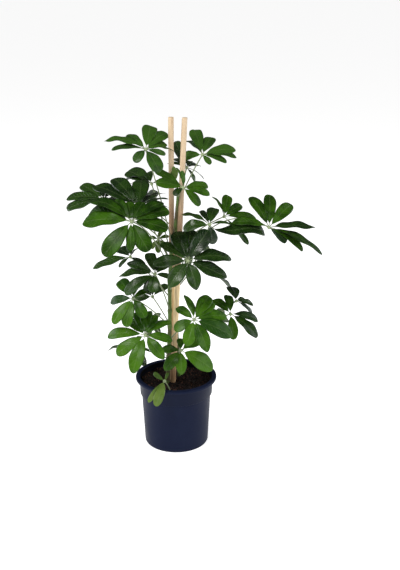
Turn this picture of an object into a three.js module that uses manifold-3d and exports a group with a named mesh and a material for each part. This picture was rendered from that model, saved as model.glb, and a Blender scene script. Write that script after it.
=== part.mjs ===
// A potted umbrella plant: a round plastic pot filled with soil, two wooden stakes, two stems and
// the plant's compound leaves, each a whorl of oval leaflets at the end of a long stalk.
// Millimetres, +Z up, the pot's base on z = 0 and its axis on the Z axis, the plant's front
// towards -Y.
import * as THREE from 'three';
import { mergeVertices } from 'three/addons/utils/BufferGeometryUtils.js';
import Module from 'manifold-3d';

const wasm = await Module();
wasm.setup();

// Pot
const POT_HEIGHT = 170;
const RIM_RADIUS = 97;
const RIM_HEIGHT = 7;
const RIM_DRAFT = 0.8;
const RIM_EDGE = 1;
const COLLAR_TOP_RADIUS = 88;
const COLLAR_FOOT_RADIUS = 86.5;
const COLLAR_FOOT_Z = 127;
// Half the height of the slope that the inner step has under the collar.
const STEP_SLOPE = 2;
const WALL_TOP_RADIUS = 83;
const BASE_RADIUS = 76.5;
const BASE_ROUND = 3;
const WALL = 2;
const FLOOR = 3;
const POT_SIDES = 32;
const DRAIN_RADIUS = 5;
const DRAIN_CIRCLE = 52;
const DRAINS = 8;
const DRAIN_SIDES = 8;

// Soil
const SOIL_Z = 156;
const SOIL_SWELL = 2.5;
const SOIL_RINGS = [64, 42, 20];
const GAP = 0.3;

// Stakes and stems
const STAKE_RADIUS = 6.35;
const STAKE_SIDES = 12;
const STAKE_TOP = 788;
const STAKE_FOOT_Z = 20;
const STEM_SIDES = 7;
const STEM_RINGS = 12;

// Leaves
const STALK_RADIUS = 1.6;
const STALK_SIDES = 5;
const STALK_STEPS = 6;
const HUB_RADIUS = 4.5;
const LEAFLET_ROOT = 3;
const LEAFLET_STALK_SHARE = 0.11;
const LEAFLET_STALK_RADIUS = 1;
const SHOOT_DEPTH = 24;
// Makes the highest point of a wave equal to its named height.
const WAVE_SCALE = 10.4;
const BLADE_THICKNESS = 1.4;
const BLADE_BREADTH = 0.205;
const BLADE_FOLD = 0.12;
// How fast a blade widens from its base and narrows to its tip.
const BLADE_BASE_POWER = 0.78;
const BLADE_TIP_POWER = 0.46;
// Share of the blade's length, from its base, at which each ring of points lies: of a long leaflet,
// and of one shorter than a small leaflet's longest length.
const BLADE_STATIONS = [0, 0.25, 0.62, 0.9, 1];
const SMALL_BLADE_STATIONS = [0, 0.35, 0.82, 1];
const SMALL_LEAFLET = 62;

// Directions of leaflets are given as seen from the front, along a line that falls by this angle.
const SIGHT_FALL = THREE.MathUtils.degToRad(19.5);
const RIGHT = new THREE.Vector3(1, 0, 0);
const RISE = new THREE.Vector3(0, Math.sin(SIGHT_FALL), Math.cos(SIGHT_FALL));
const TOWARD = new THREE.Vector3(0, -Math.cos(SIGHT_FALL), Math.sin(SIGHT_FALL));

const COLOURS = {
  pot: 0x20253a,
  soil: 0x1a100c,
  stake: 0xd9bd94,
  stem: 0x536c2a,
  leafBright: 0x3c641c,
  leaf: 0x2c5214,
  leafDark: 0x203c18,
  leafYoung: 0x62803a,
};

// Centre lines of the two stems, from the soil up, with the radius at their foot and tip.
const STEMS = {
  front: {
    foot: 6,
    tip: 2.6,
    line: [[-23, -15, 100], [-19, -14, 179], [-16, -14, 238], [-13.2, -14, 315], [-12.5, -13.5, 403],
      [-7, -10, 487], [0, -6, 538], [7, -10, 605], [11, -15, 632]],
  },
  back: {
    foot: 4.2,
    tip: 2.4,
    line: [[8, 26, 100], [6, 25, 179], [3, 24, 260], [-1, 24, 350], [-2, 25, 430], [1, 27, 500],
      [6, 30, 560], [12, 32, 620]],
  },
};

// Where each stake's centre line meets the soil's height and the height of its top.
const STAKES = {
  left: { foot: [-9, 8], head: [-6.5, 4] },
  right: { foot: [-7, -8], head: [24, -2] },
};

// Each leaf: the stem it grows on and the height of its root there, how far its stalk arches, its
// hub, how its whorl faces (degrees to the right, degrees tipped back from the front), how far its
// leaflets droop, how broad and how arched they are, and its leaflets. For each leaflet: its
// direction seen from the front in degrees, its reach seen from the front, the degrees by which its
// blade is turned about its own length, the degrees by which it leans more to the front, and what
// it alone has: its own breadth as a share of the leaf's, its own arch, its own wave, and the
// power by which its tip narrows, higher where it is more pointed.
const LEAVES = [
  {
    name: 'leaf_top_left', tone: 'leaf', stem: 'front', root: 500, arch: 0.04, hub: [-61, -35, 724],
    face: [10, 33], droop: 12, broad: 1, bow: 0.11,
    leaflets: [[167, 95, 20, 0, { broad: 0.86, bow: 0.14, point: 0.6 }],
      [180, 75, 18, 0, { broad: 0.87 }], [140, 57, 0, 0, { broad: 0.83, bow: 0.12 }],
      [84, 63, 0, 0, { broad: 1.05 }], [44, 63], [21, 47, 0, 0, { broad: 1.15 }],
      [1, 59, -30, 0, { broad: 0.9 }], [-12, 44, 20, 0, { broad: 0.8 }],
      [-128, 38, 0, 0, { broad: 1.5 }], [-59, 60, 0, 0, { broad: 1.5 }]],
  },
  {
    name: 'leaf_top_right', tone: 'leaf', stem: 'back', root: 590, arch: 0.04, hub: [63, 15, 702],
    face: [-5, 30], droop: 12, broad: 1, bow: 0.1,
    leaflets: [[107, 69, 0, 0, { broad: 0.9 }], [64, 50, 0, 0, { broad: 1.25 }], [134, 52, 32],
      [11, 76], [-4, 77, -25], [-18, 57, -15], [-50, 29, 0, 0, { broad: 1.3 }],
      [-172, 50, 0, 0, { broad: 1.4 }]],
  },
  {
    name: 'leaf_top_front', tone: 'leaf', stem: 'front', root: 612, arch: 0.04, hub: [20, -32, 638],
    face: [10, 28], droop: 10, broad: 0.95, bow: 0.1,
    leaflets: [[6, 56], [-13, 61], [-48, 55, 0, 0, { broad: 1.15 }], [170, 60, 0, 14, { broad: 1.4 }],
      [148, 74, 0, 14, { broad: 0.8 }], [109, 46, 40, 42, { broad: 0.8 }],
      [94, 38, 20, 42, { broad: 0.9 }], [-140, 27, 0, 0, { broad: 1.6 }]],
  },
  {
    name: 'leaf_tip_young', tone: 'leafYoung', stem: 'front', root: 622, arch: 0.04, hub: [3, -15, 649],
    face: [0, 30], droop: 5, broad: 0.9, bow: 0.08,
    leaflets: [[116, 23, 0, 50], [98, 32, 0, 50], [82, 25, 0, 50]],
  },
  {
    name: 'leaf_top_back', tone: 'leafDark', stem: 'back', root: 575, arch: 0.04, hub: [27, 50, 665],
    face: [15, 52], droop: 10, broad: 0.9, bow: 0.1,
    leaflets: [[-33, 47, -28, -28], [-62, 38, -18, -28, { broad: 1.2 }],
      [20, 30, 0, -10, { broad: 1.2 }], [166, 46], [140, 40, 0, 0, { broad: 1.4 }], [112, 70, -30, 36],
      [70, 22]],
  },
  {
    name: 'leaf_upper_left', tone: 'leafDark', stem: 'front', root: 470, arch: 0.05, hub: [-54, 55, 626],
    face: [-15, 40], droop: 12, broad: 1.1, bow: 0.14,
    leaflets: [[147, 72, 0, 0, { broad: 1.0, bow: 0.05 }], [165, 62, 35, 0, { broad: 0.8 }],
      [176, 50, 20, 0, { broad: 0.8 }], [110, 34], [8, 36]],
  },
  {
    name: 'leaf_left_front', tone: 'leaf', stem: 'front', root: 440, arch: 0.12,
    hub: [-90, -110, 582], face: [-5, 22], droop: 10, broad: 1.3, bow: 0.1,
    leaflets: [[-179, 108, 10, 4, { broad: 0.8 }], [168, 99, 4, -5, { broad: 0.95 }],
      [154, 110, 32, 0, { broad: 0.7, bow: 0.14 }], [128, 64, 0, 0, { broad: 0.8 }], [100, 46],
      [62, 50], [33, 80, -25, 0, { broad: 0.85 }], [17, 84, -10, 0, { broad: 0.9 }], [-12, 80, -15],
      [-60, 75], [-89, 63, 22, 0, { broad: 0.75 }], [-128, 95, 0, 0, { broad: 0.9 }]],
  },
  {
    name: 'leaf_left_far', tone: 'leafDark', stem: 'back', root: 470, arch: 0.05, hub: [-162, 20, 600],
    face: [-10, 42], droop: 12, broad: 1, bow: 0.04,
    leaflets: [[176, 90, 5], [-166, 90, -5], [146, 71, 0, 0, { broad: 0.85, bow: 0.03 }], [100, 28],
      [-20, 56, 0, 0, { bow: 0.12 }], [45, 36]],
  },
  {
    name: 'leaf_left_middle', tone: 'leafDark', stem: 'front', root: 455, arch: 0.05,
    hub: [-78, -48, 597], face: [0, 32], droop: 10, broad: 1, bow: 0.1,
    leaflets: [[153, 119, 17, 0, { broad: 0.85, bow: 0.08 }], [162, 74, 30, 0, { broad: 0.8 }],
      [131, 95, 0, 0, { broad: 0.85 }], [88, 67, 0, 0, { broad: 1.2 }],
      [34, 66, -30, -14, { broad: 0.9 }], [17, 68, -38, 12, { broad: 0.8 }],
      [1, 66, -42, 0, { broad: 0.8 }]],
  },
  {
    name: 'leaf_right_middle', tone: 'leafDark', stem: 'back', root: 380, arch: -0.12,
    hub: [79, -40, 555], face: [5, 36], droop: 12, broad: 1, bow: 0.12,
    leaflets: [[120, 40, 0, 0, { broad: 0.8 }], [75, 43, 0, 0, { broad: 1.2 }], [159, 67, 28, 14],
      [-170, 60, -10, 0, { broad: 1.25, bow: 0.2 }], [-80, 44, 0, -25, { broad: 1.5 }],
      [-9, 127, -10, 0, { broad: 0.9, bow: 0, wave: -0.09 }], [2, 48, -20, 0, { broad: 0.8 }]],
  },
  {
    name: 'leaf_right_back', tone: 'leaf', stem: 'back', root: 480, arch: 0.05, hub: [113, 40, 552],
    face: [10, 24], droop: 10, broad: 1.05, bow: 0.1,
    leaflets: [[80, 54], [36, 51], [119, 56, 42, 0, { broad: 0.8 }], [-4, 78, -20, 0, { broad: 0.9 }],
      [-49, 86, -20, 0, { broad: 0.6, bow: 0.04 }]],
  },
  {
    name: 'leaf_right_far', tone: 'leaf', stem: 'back', root: 430, arch: 0.25, hub: [213, -20, 543],
    face: [10, 20], droop: 10, broad: 1, bow: 0.1,
    leaflets: [[119, 83, 0, 0, { broad: 0.85 }], [87, 79, 0, 0, { broad: 0.9 }],
      [46, 79, 0, 0, { broad: 0.9 }], [1, 111, -38, 0, { broad: 0.8, bow: 0.06, point: 0.66 }],
      [-34, 94, -25, 0, { broad: 0.85 }], [-26, 138, -42, 0, { broad: 0.85, bow: 0.07, point: 0.66 }],
      [-40, 52, 0, 0, { broad: 1.2 }], [172, 84, 14, 0, { broad: 0.8, bow: 0.14 }]],
  },
  {
    name: 'leaf_centre_front', tone: 'leafDark', stem: 'front', root: 390, arch: 0.05,
    hub: [31, -85, 485], face: [5, 20], droop: 8, broad: 1.15, bow: 0.1,
    leaflets: [[112, 72, 0, 0, { broad: 1.2 }], [86, 72, 0, 0, { broad: 1.15 }],
      [57, 82, 0, 22, { broad: 1.1 }], [2, 97, -20, 0, { broad: 0.88, bow: 0.16, point: 0.7 }],
      [-23, 94, -10, 0, { broad: 0.9, bow: 0.06, point: 0.72 }],
      [-74, 68, 0, 0, { broad: 1.15, point: 0.75 }], [-125, 72, 0, 0, { broad: 1.15, point: 0.7 }],
      [-175, 78, 0, 0, { broad: 0.9, point: 0.6 }], [148, 73, 20]],
  },
  {
    name: 'leaf_centre_left', tone: 'leafDark', stem: 'front', root: 340, arch: 0.05,
    hub: [-43, -70, 449], face: [-5, 32], droop: 12, broad: 1.1, bow: 0.11,
    leaflets: [[109, 52, 0, 0, { broad: 0.9 }], [158, 71, 0, 0, { broad: 0.75, point: 0.66 }],
      [-176, 84, 28, 0, { broad: 1.05, point: 0.62 }], [-146, 81, 0, 0, { broad: 0.9 }],
      [-122, 44, 0, 0, { broad: 0.9 }], [-96, 42, 0, 0, { broad: 1.5 }], [-12, 35],
      [74, 40, 0, 0, { broad: 0.8 }], [36, 38]],
  },
  {
    name: 'leaf_centre_back', tone: 'leafYoung', stem: 'back', root: 430, arch: 0.05,
    hub: [-40, 46, 496], face: [-10, 30], droop: 14, broad: 1.15, bow: 0.1,
    leaflets: [[-124, 28], [-88, 33], [-50, 32], [68, 20], [16, 26], [172, 24]],
  },
  {
    name: 'leaf_centre_left_back', tone: 'leafDark', stem: 'back', root: 340, arch: 0.05,
    hub: [-106, 40, 454], face: [-15, 42], droop: 12, broad: 0.95, bow: 0.1,
    leaflets: [[-164, 95, 8, 0, { bow: 0.05, point: 0.68 }], [-137, 36],
      [146, 38, 0, 0, { broad: 1.4 }], [46, 34, -30], [88, 42], [-34, 44]],
  },
  {
    name: 'leaf_low_left_back', tone: 'leafDark', stem: 'back', root: 250, arch: 0.05,
    hub: [-55, 30, 358], face: [0, 45], droop: 10, broad: 1, bow: 0.11,
    leaflets: [[36, 47], [-173, 48, -20, 0, { broad: 1.3 }], [100, 28], [150, 34]],
  },
  {
    name: 'leaf_low_left_far', tone: 'leafBright', stem: 'front', root: 300, arch: 0.05,
    hub: [-93, -75, 393], face: [-10, 30], droop: 14, broad: 1.15, bow: 0.11,
    leaflets: [[-171, 54], [-128, 73, 0, 0, { broad: 0.9 }], [-103, 66],
      [-57, 52, 0, 0, { broad: 1.15 }], [130, 54], [84, 42], [30, 34]],
  },
  {
    name: 'leaf_low_left_front', tone: 'leafBright', stem: 'front', root: 225, arch: 0.05,
    hub: [-66, -95, 311], face: [-5, 25], droop: 10, broad: 1.1, bow: 0.12,
    leaflets: [[-178, 88, 8, 0, { broad: 0.82, bow: 0.18 }], [-146, 79],
      [-108, 89, 0, 0, { broad: 0.95, point: 0.58 }], [-51, 68, 0, 0, { point: 0.68 }],
      [-12, 63, -10, 0, { broad: 0.95, point: 0.6 }], [27, 64, -25, 0, { broad: 0.9 }], [63, 50],
      [88, 54], [111, 58], [140, 52, 0, 0, { broad: 0.9 }]],
  },
  {
    name: 'leaf_low_right_front', tone: 'leafBright', stem: 'front', root: 265, arch: 0.05,
    hub: [44, -90, 347], face: [5, 25], droop: 12, broad: 1.15, bow: 0.1,
    leaflets: [[146, 48], [112, 60, 35, 0, { broad: 0.8, point: 0.7 }], [57, 63], [42, 59],
      [5, 75, -10, 0, { broad: 0.95 }], [-152, 50, 0, 0, { broad: 1.25 }],
      [-106, 61, 0, 0, { broad: 1.2, point: 0.62 }], [-67, 79, 0, 0, { broad: 0.95, point: 0.7 }],
      [-24, 95, 0, 0, { point: 0.62 }]],
  },
  {
    name: 'leaf_low_right_far', tone: 'leaf', stem: 'back', root: 240, arch: 0.05, hub: [129, 0, 326],
    face: [10, 32], droop: 14, broad: 1.1, bow: 0.11,
    leaflets: [[99, 45, 0, 0, { broad: 0.9 }], [140, 52], [-14, 68, -14],
      [-41, 84, -8, 0, { broad: 0.9 }], [-84, 60]],
  },
  {
    name: 'leaf_low_right_back', tone: 'leafDark', stem: 'back', root: 210, arch: 0.05,
    hub: [146, 90, 325], face: [20, 42], droop: 12, broad: 1, bow: 0.1,
    leaflets: [[-13, 44, 0, 0, { broad: 1.1 }], [-39, 50, -15], [16, 22],
      [110, 37, 0, 0, { broad: 1.5 }], [125, 68, 72, 0, { broad: 0.5 }], [-152, 30]],
  },
  {
    name: 'leaf_low_centre', tone: 'leafBright', stem: 'front', root: 195, arch: 0.05,
    hub: [13, -60, 259], face: [5, 25], droop: 16, broad: 1.3, bow: 0.1,
    leaflets: [[-32, 87, 0, 0, { point: 0.6 }], [-88, 56, 0, 0, { point: 0.7 }],
      [-129, 59, 0, 0, { point: 0.65 }], [29, 54], [96, 27], [178, 44]],
  },
  {
    name: 'leaf_low_back', tone: 'leafDark', stem: 'back', root: 185, arch: 0.05,
    hub: [-105, 60, 215], face: [-20, 45], droop: 12, broad: 0.9, bow: 0.1,
    leaflets: [[-172, 66, 20], [-145, 36], [-54, 52], [-12, 40, -30], [60, 30]],
  },
  {
    name: 'leaf_behind_upper', tone: 'leafDark', stem: 'back', root: 520, arch: 0.05,
    hub: [-72, 105, 560], face: [180, 30], droop: 12, broad: 1.2, bow: 0.1,
    leaflets: [[0, 45], [52, 43], [103, 41], [154, 45], [-154, 45], [-103, 43], [-52, 41]],
  },
  {
    name: 'leaf_behind_middle', tone: 'leaf', stem: 'back', root: 400, arch: 0.05,
    hub: [36, 118, 450], face: [170, 30], droop: 12, broad: 1.2, bow: 0.1,
    leaflets: [[0, 45], [52, 43], [103, 41], [154, 45], [-154, 45], [-103, 43], [-52, 41]],
  },
  {
    name: 'leaf_behind_right', tone: 'leaf', stem: 'back', root: 225, arch: 0.05,
    hub: [92, 108, 268], face: [160, 30], droop: 12, broad: 1.2, bow: 0.1,
    leaflets: [[0, 36], [52, 34], [103, 32], [154, 36], [-154, 36], [-103, 34], [-52, 32]],
  },
  {
    name: 'leaf_behind_left', tone: 'leaf', stem: 'back', root: 200, arch: 0.05,
    hub: [-62, 100, 262], face: [-160, 30], droop: 12, broad: 1.2, bow: 0.1,
    leaflets: [[0, 36], [52, 34], [103, 32], [154, 36], [-154, 36], [-103, 34], [-52, 32]],
  },
];

// The small low shoot at the front of the soil: two long leaflets hang over the pot's lip.
const SHOOT = {
  name: 'shoot_front', tone: 'leafYoung', foot: [-4, -64], arch: 0.1, hub: [-25, -73, 187],
  face: [0, 10], droop: 8, broad: 0.95, bow: 0.12,
  leaflets: [[-109, 57, 0, 34, { broad: 0.95 }], [-129, 58, 0, 32, { broad: 0.62 }], [144, 32],
    [67, 20]],
};

// The centre of a stem at a height, on smooth cubic pieces between the listed points.
function stemAt(stem, z) {
  const line = stem.line;
  const last = line.length - 1;
  let k = 0;
  while (k < last - 1 && z > line[k + 1][2]) {
    k += 1;
  }
  const [a, b] = [line[k], line[k + 1]];
  const span = b[2] - a[2];
  const s = (z - a[2]) / span;
  const slope = (j, axis) => {
    const [p, q] = [line[Math.max(j - 1, 0)], line[Math.min(j + 1, last)]];
    return (q[axis] - p[axis]) / (q[2] - p[2]);
  };
  const at = (axis) => (1 + 2 * s) * (1 - s) ** 2 * a[axis] + s * (1 - s) ** 2 * span * slope(k, axis)
    + s ** 2 * (3 - 2 * s) * b[axis] - s ** 2 * (1 - s) * span * slope(k + 1, axis);
  return new THREE.Vector3(at(0), at(1), z);
}

// A closed three.js geometry as a solid that can be joined and cut.
function toSolid(geometry) {
  const plain = geometry.clone();
  plain.deleteAttribute('normal');
  plain.deleteAttribute('uv');
  const merged = mergeVertices(plain, 1e-4);
  return new wasm.Manifold(new wasm.Mesh({
    numProp: 3,
    vertProperties: new Float32Array(merged.attributes.position.array),
    triVerts: new Uint32Array(merged.index.array),
  }));
}

// The largest body of a solid, without the loose scraps that joining leaves behind.
function largestBody(solid) {
  return solid.decompose().reduce((most, body) => (body.volume() > most.volume() ? body : most));
}

// A solid back as a three.js geometry.
function toGeometry(solid) {
  const mesh = solid.getMesh();
  const geometry = new THREE.BufferGeometry();
  geometry.setAttribute('position', new THREE.BufferAttribute(new Float32Array(mesh.vertProperties), 3));
  geometry.setIndex(new THREE.BufferAttribute(new Uint32Array(mesh.triVerts), 1));
  geometry.computeVertexNormals();
  return geometry;
}

function material(colour, roughness) {
  return new THREE.MeshStandardMaterial({ color: colour, roughness, metalness: 0 });
}

function namedMesh(name, geometry, surface) {
  const mesh = new THREE.Mesh(geometry, surface);
  mesh.name = name;
  return mesh;
}

// A solid of revolution about Z from [radius, height] points.
function turned(points, sides) {
  const profile = points.map(([r, z]) => new THREE.Vector2(r, z));
  const geometry = new THREE.LatheGeometry(profile, sides);
  geometry.rotateX(Math.PI / 2);
  return toSolid(geometry);
}

// A cylinder along Z, from z0 to z1.
function rod(radius, z0, z1, x, y, sides) {
  const geometry = new THREE.CylinderGeometry(radius, radius, z1 - z0, sides);
  geometry.rotateX(Math.PI / 2);
  geometry.translate(x, y, (z0 + z1) / 2);
  return toSolid(geometry);
}

// Outer radius of the pot's wall at a height below its collar.
function wallRadius(z) {
  return BASE_RADIUS + (WALL_TOP_RADIUS - BASE_RADIUS) * z / COLLAR_FOOT_Z;
}

function makePot() {
  const inner = WALL_TOP_RADIUS - WALL;
  const shell = turned([
    [0, 0],
    [BASE_RADIUS - BASE_ROUND, 0],
    [wallRadius(BASE_ROUND), BASE_ROUND],
    [WALL_TOP_RADIUS, COLLAR_FOOT_Z],
    [COLLAR_FOOT_RADIUS, COLLAR_FOOT_Z],
    [COLLAR_TOP_RADIUS, POT_HEIGHT - RIM_HEIGHT],
    [RIM_RADIUS - RIM_DRAFT, POT_HEIGHT - RIM_HEIGHT],
    [RIM_RADIUS, POT_HEIGHT - RIM_EDGE],
    [RIM_RADIUS - RIM_EDGE, POT_HEIGHT],
    [COLLAR_TOP_RADIUS - WALL, POT_HEIGHT],
    [COLLAR_FOOT_RADIUS - WALL, COLLAR_FOOT_Z + STEP_SLOPE],
    [inner, COLLAR_FOOT_Z - STEP_SLOPE],
    [wallRadius(FLOOR) - WALL, FLOOR],
    [0, FLOOR],
  ], POT_SIDES);
  let pot = shell;
  for (let i = 0; i < DRAINS; i += 1) {
    const turn = (i + 0.5) / DRAINS * 2 * Math.PI;
    const x = DRAIN_CIRCLE * Math.cos(turn);
    const y = DRAIN_CIRCLE * Math.sin(turn);
    pot = pot.subtract(rod(DRAIN_RADIUS, -1, FLOOR + 1, x, y, DRAIN_SIDES));
  }
  return pot;
}

// The height of the soil's top: a low swell with shallow dips.
function soilHeight(x, y) {
  return SOIL_Z + SOIL_SWELL * (Math.sin(x / 13) * Math.cos(y / 17) + 0.5 * Math.sin((x + 2 * y) / 11));
}

function makeSoil() {
  const points = [
    [0, FLOOR + GAP],
    [wallRadius(FLOOR) - WALL - GAP, FLOOR + GAP],
    [WALL_TOP_RADIUS - WALL - GAP, COLLAR_FOOT_Z - STEP_SLOPE],
    [COLLAR_FOOT_RADIUS - WALL - GAP, COLLAR_FOOT_Z + STEP_SLOPE],
    [COLLAR_FOOT_RADIUS - WALL - GAP, SOIL_Z],
    ...SOIL_RINGS.map((radius) => [radius, SOIL_Z]),
    [0, SOIL_Z],
  ];
  const profile = points.map(([r, z]) => new THREE.Vector2(r, z));
  const geometry = new THREE.LatheGeometry(profile, POT_SIDES);
  geometry.rotateX(Math.PI / 2);
  const place = geometry.attributes.position;
  for (let i = 0; i < place.count; i += 1) {
    if (place.getZ(i) > SOIL_Z - 1) {
      place.setZ(i, soilHeight(place.getX(i), place.getY(i)));
    }
  }
  return toSolid(geometry);
}

// A stake with some more on its radius: a column from deep in the soil to its flat top.
function stakeSolid(stake, grow) {
  const foot = new THREE.Vector3(stake.foot[0], stake.foot[1], SOIL_Z);
  const head = new THREE.Vector3(stake.head[0], stake.head[1], STAKE_TOP);
  const share = (SOIL_Z - STAKE_FOOT_Z) / (STAKE_TOP - SOIL_Z);
  const bottom = foot.clone().lerp(head, -share);
  bottom.z -= grow;
  const length = head.distanceTo(bottom);
  const radius = STAKE_RADIUS + grow;
  const geometry = new THREE.CylinderGeometry(radius, radius, length, STAKE_SIDES);
  geometry.translate(0, length / 2, 0);
  const turn = new THREE.Quaternion();
  turn.setFromUnitVectors(new THREE.Vector3(0, 1, 0), head.clone().sub(bottom).normalize());
  geometry.applyQuaternion(turn);
  geometry.translate(bottom.x, bottom.y, bottom.z);
  return toSolid(geometry);
}

// A stem: a many-sided column whose rings follow the stem's centre line and taper upwards.
function stemSolid(stem, grow) {
  const bottom = stem.line[0][2] - grow;
  const top = stem.line[stem.line.length - 1][2] + grow;
  const geometry = new THREE.CylinderGeometry(1, 1, 1, STEM_SIDES, STEM_RINGS);
  const place = geometry.attributes.position;
  for (let i = 0; i < place.count; i += 1) {
    const share = place.getY(i) + 0.5;
    const z = bottom + (top - bottom) * share;
    const centre = stemAt(stem, z);
    const radius = stem.foot + (stem.tip - stem.foot) * share + grow;
    place.setXYZ(i, centre.x + radius * place.getX(i), centre.y - radius * place.getZ(i), z);
  }
  return toSolid(geometry);
}

// Half the width of a blade, as a share of its widest, at a share of the way from base to tip.
function bladeShape(share, tipPower) {
  const widest = BLADE_BASE_POWER / (BLADE_BASE_POWER + tipPower);
  return (share / widest) ** BLADE_BASE_POWER * ((1 - share) / (1 - widest)) ** tipPower;
}

// A leaflet from the hub along a direction: a cone with four sides, whose rings become the round
// stalk and then the blade, with raised edges on both sides of its rib and an arch from base to tip.
function leafletSolid(hub, { along, upper, length, breadth, bow, wave, point: tipPower }) {
  const side = new THREE.Vector3().crossVectors(upper, along);
  const stalk = LEAFLET_STALK_SHARE;
  const stations = length > SMALL_LEAFLET ? BLADE_STATIONS : SMALL_BLADE_STATIONS;
  const rings = stations.length;
  const halfWidth = breadth * length * (1 - stalk);
  const geometry = new THREE.ConeGeometry(1, 1, 4, rings);
  const place = geometry.attributes.position;
  const point = new THREE.Vector3();
  for (let i = 0; i < place.count; i += 1) {
    const ring = Math.round((place.getY(i) + 0.5) * rings);
    const spread = Math.hypot(place.getX(i), place.getZ(i));
    const across = spread > 1e-6 ? place.getX(i) / spread : 0;
    const above = spread > 1e-6 ? -place.getZ(i) / spread : 0;
    const share = ring > 0 ? stations[ring - 1] : 0;
    const run = ring > 0 ? stalk + (1 - stalk) * share : LEAFLET_ROOT / length;
    const wide = Math.max(halfWidth * bladeShape(share, tipPower), LEAFLET_STALK_RADIUS);
    const thick = ring > 1 ? BLADE_THICKNESS / 2 : LEAFLET_STALK_RADIUS;
    const fold = ring > 1 ? BLADE_FOLD * wide * Math.abs(across) : 0;
    const line = bow * 4 * run * (1 - run) + wave * WAVE_SCALE * run * (1 - run) * (1 - 2 * run);
    const lift = length * line + fold;
    point.copy(hub)
      .addScaledVector(along, length * run)
      .addScaledVector(side, wide * across)
      .addScaledVector(upper, lift + thick * above);
    place.setXYZ(i, point.x, point.y, point.z);
  }
  return toSolid(geometry);
}

// A leaflet's direction and length from how it is seen from the front and how its whorl faces.
function leafletLine(leaf, [seen, reach, roll = 0, extra = 0, own = {}]) {
  const [turn, tip] = leaf.face.map(THREE.MathUtils.degToRad);
  const angle = THREE.MathUtils.degToRad(seen);
  const face = [Math.sin(turn) * Math.cos(tip), Math.sin(tip), Math.cos(turn) * Math.cos(tip)];
  const inFace = Math.cos(angle) * face[0] + Math.sin(angle) * face[1];
  const drop = Math.asin(Math.sin(THREE.MathUtils.degToRad(leaf.droop)) / Math.hypot(inFace, face[2]));
  const turned = Math.atan2(inFace, face[2]);
  const facesAway = Math.cos(turned + drop) < 0;
  const lean = THREE.MathUtils.degToRad(extra) + (facesAway ? Math.PI - turned + drop : -turned - drop);
  const along = new THREE.Vector3()
    .addScaledVector(RIGHT, Math.cos(lean) * Math.cos(angle))
    .addScaledVector(RISE, Math.cos(lean) * Math.sin(angle))
    .addScaledVector(TOWARD, Math.sin(lean));
  const upper = new THREE.Vector3()
    .addScaledVector(RIGHT, face[0])
    .addScaledVector(RISE, face[1])
    .addScaledVector(TOWARD, face[2]);
  upper.addScaledVector(along, -upper.dot(along)).normalize();
  upper.applyAxisAngle(along, THREE.MathUtils.degToRad(roll));
  return {
    along,
    upper,
    length: reach / Math.cos(lean),
    breadth: BLADE_BREADTH * leaf.broad * (own.broad ?? 1),
    bow: own.bow ?? leaf.bow,
    wave: own.wave ?? 0,
    point: own.point ?? BLADE_TIP_POWER,
  };
}

// Where a leaf's stalk starts: in the middle of its stem, or, without a stem, deep in the soil.
function rootOf(leaf) {
  if (leaf.stem) {
    return stemAt(STEMS[leaf.stem], leaf.root);
  }
  return new THREE.Vector3(leaf.foot[0], leaf.foot[1], SOIL_Z - SHOOT_DEPTH);
}

// A leaf stalk from its root to the hub, with some more on its radius.
function stalkSolid(leaf, grow) {
  const root = rootOf(leaf);
  const hub = new THREE.Vector3(...leaf.hub);
  const middle = root.clone().lerp(hub, 0.5);
  middle.z += leaf.arch * 2 * root.distanceTo(hub);
  const curve = new THREE.QuadraticBezierCurve3(root, middle, hub);
  const ring = new THREE.Shape();
  for (let i = 0; i < STALK_SIDES; i += 1) {
    const angle = i / STALK_SIDES * 2 * Math.PI;
    const move = i === 0 ? 'moveTo' : 'lineTo';
    ring[move]((STALK_RADIUS + grow) * Math.cos(angle), (STALK_RADIUS + grow) * Math.sin(angle));
  }
  ring.closePath();
  const along = { steps: STALK_STEPS, extrudePath: curve, bevelEnabled: false };
  return toSolid(new THREE.ExtrudeGeometry(ring, along));
}

// A whole leaf, cut off where the room of its stem begins.
function makeLeaf(leaf, stemRoom) {
  const hub = new THREE.Vector3(...leaf.hub);
  const knob = new THREE.IcosahedronGeometry(HUB_RADIUS, 0);
  knob.translate(hub.x, hub.y, hub.z);
  let solid = toSolid(knob).add(stalkSolid(leaf, 0));
  leaf.leaflets.forEach((leaflet) => {
    solid = solid.add(leafletSolid(hub, leafletLine(leaf, leaflet)));
  });
  return largestBody(leaf.stem ? solid.subtract(stemRoom[leaf.stem]) : solid);
}

const plant = new THREE.Group();
const stemRoom = {
  front: stemSolid(STEMS.front, GAP),
  back: stemSolid(STEMS.back, GAP),
};
const stakeRoom = [stakeSolid(STAKES.left, GAP), stakeSolid(STAKES.right, GAP)];

const plastic = material(COLOURS.pot, 0.45);
const earth = material(COLOURS.soil, 0.95);
const wood = material(COLOURS.stake, 0.6);
const bark = material(COLOURS.stem, 0.7);
const greens = {};
['leafBright', 'leaf', 'leafDark', 'leafYoung'].forEach((tone) => {
  greens[tone] = material(COLOURS[tone], 0.4);
});

plant.add(namedMesh('pot', toGeometry(makePot()), plastic));

let soil = makeSoil();
[stemRoom.front, stemRoom.back, ...stakeRoom, stalkSolid(SHOOT, GAP)].forEach((hole) => {
  soil = soil.subtract(hole);
});
plant.add(namedMesh('soil', toGeometry(soil), earth));

plant.add(namedMesh('stake_left', toGeometry(stakeSolid(STAKES.left, 0)), wood));
plant.add(namedMesh('stake_right', toGeometry(stakeSolid(STAKES.right, 0)), wood));
plant.add(namedMesh('stem_front', toGeometry(stemSolid(STEMS.front, 0)), bark));
plant.add(namedMesh('stem_back', toGeometry(stemSolid(STEMS.back, 0)), bark));

[...LEAVES, SHOOT].forEach((leaf) => {
  plant.add(namedMesh(leaf.name, toGeometry(makeLeaf(leaf, stemRoom)), greens[leaf.tone]));
});

export default plant;
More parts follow.
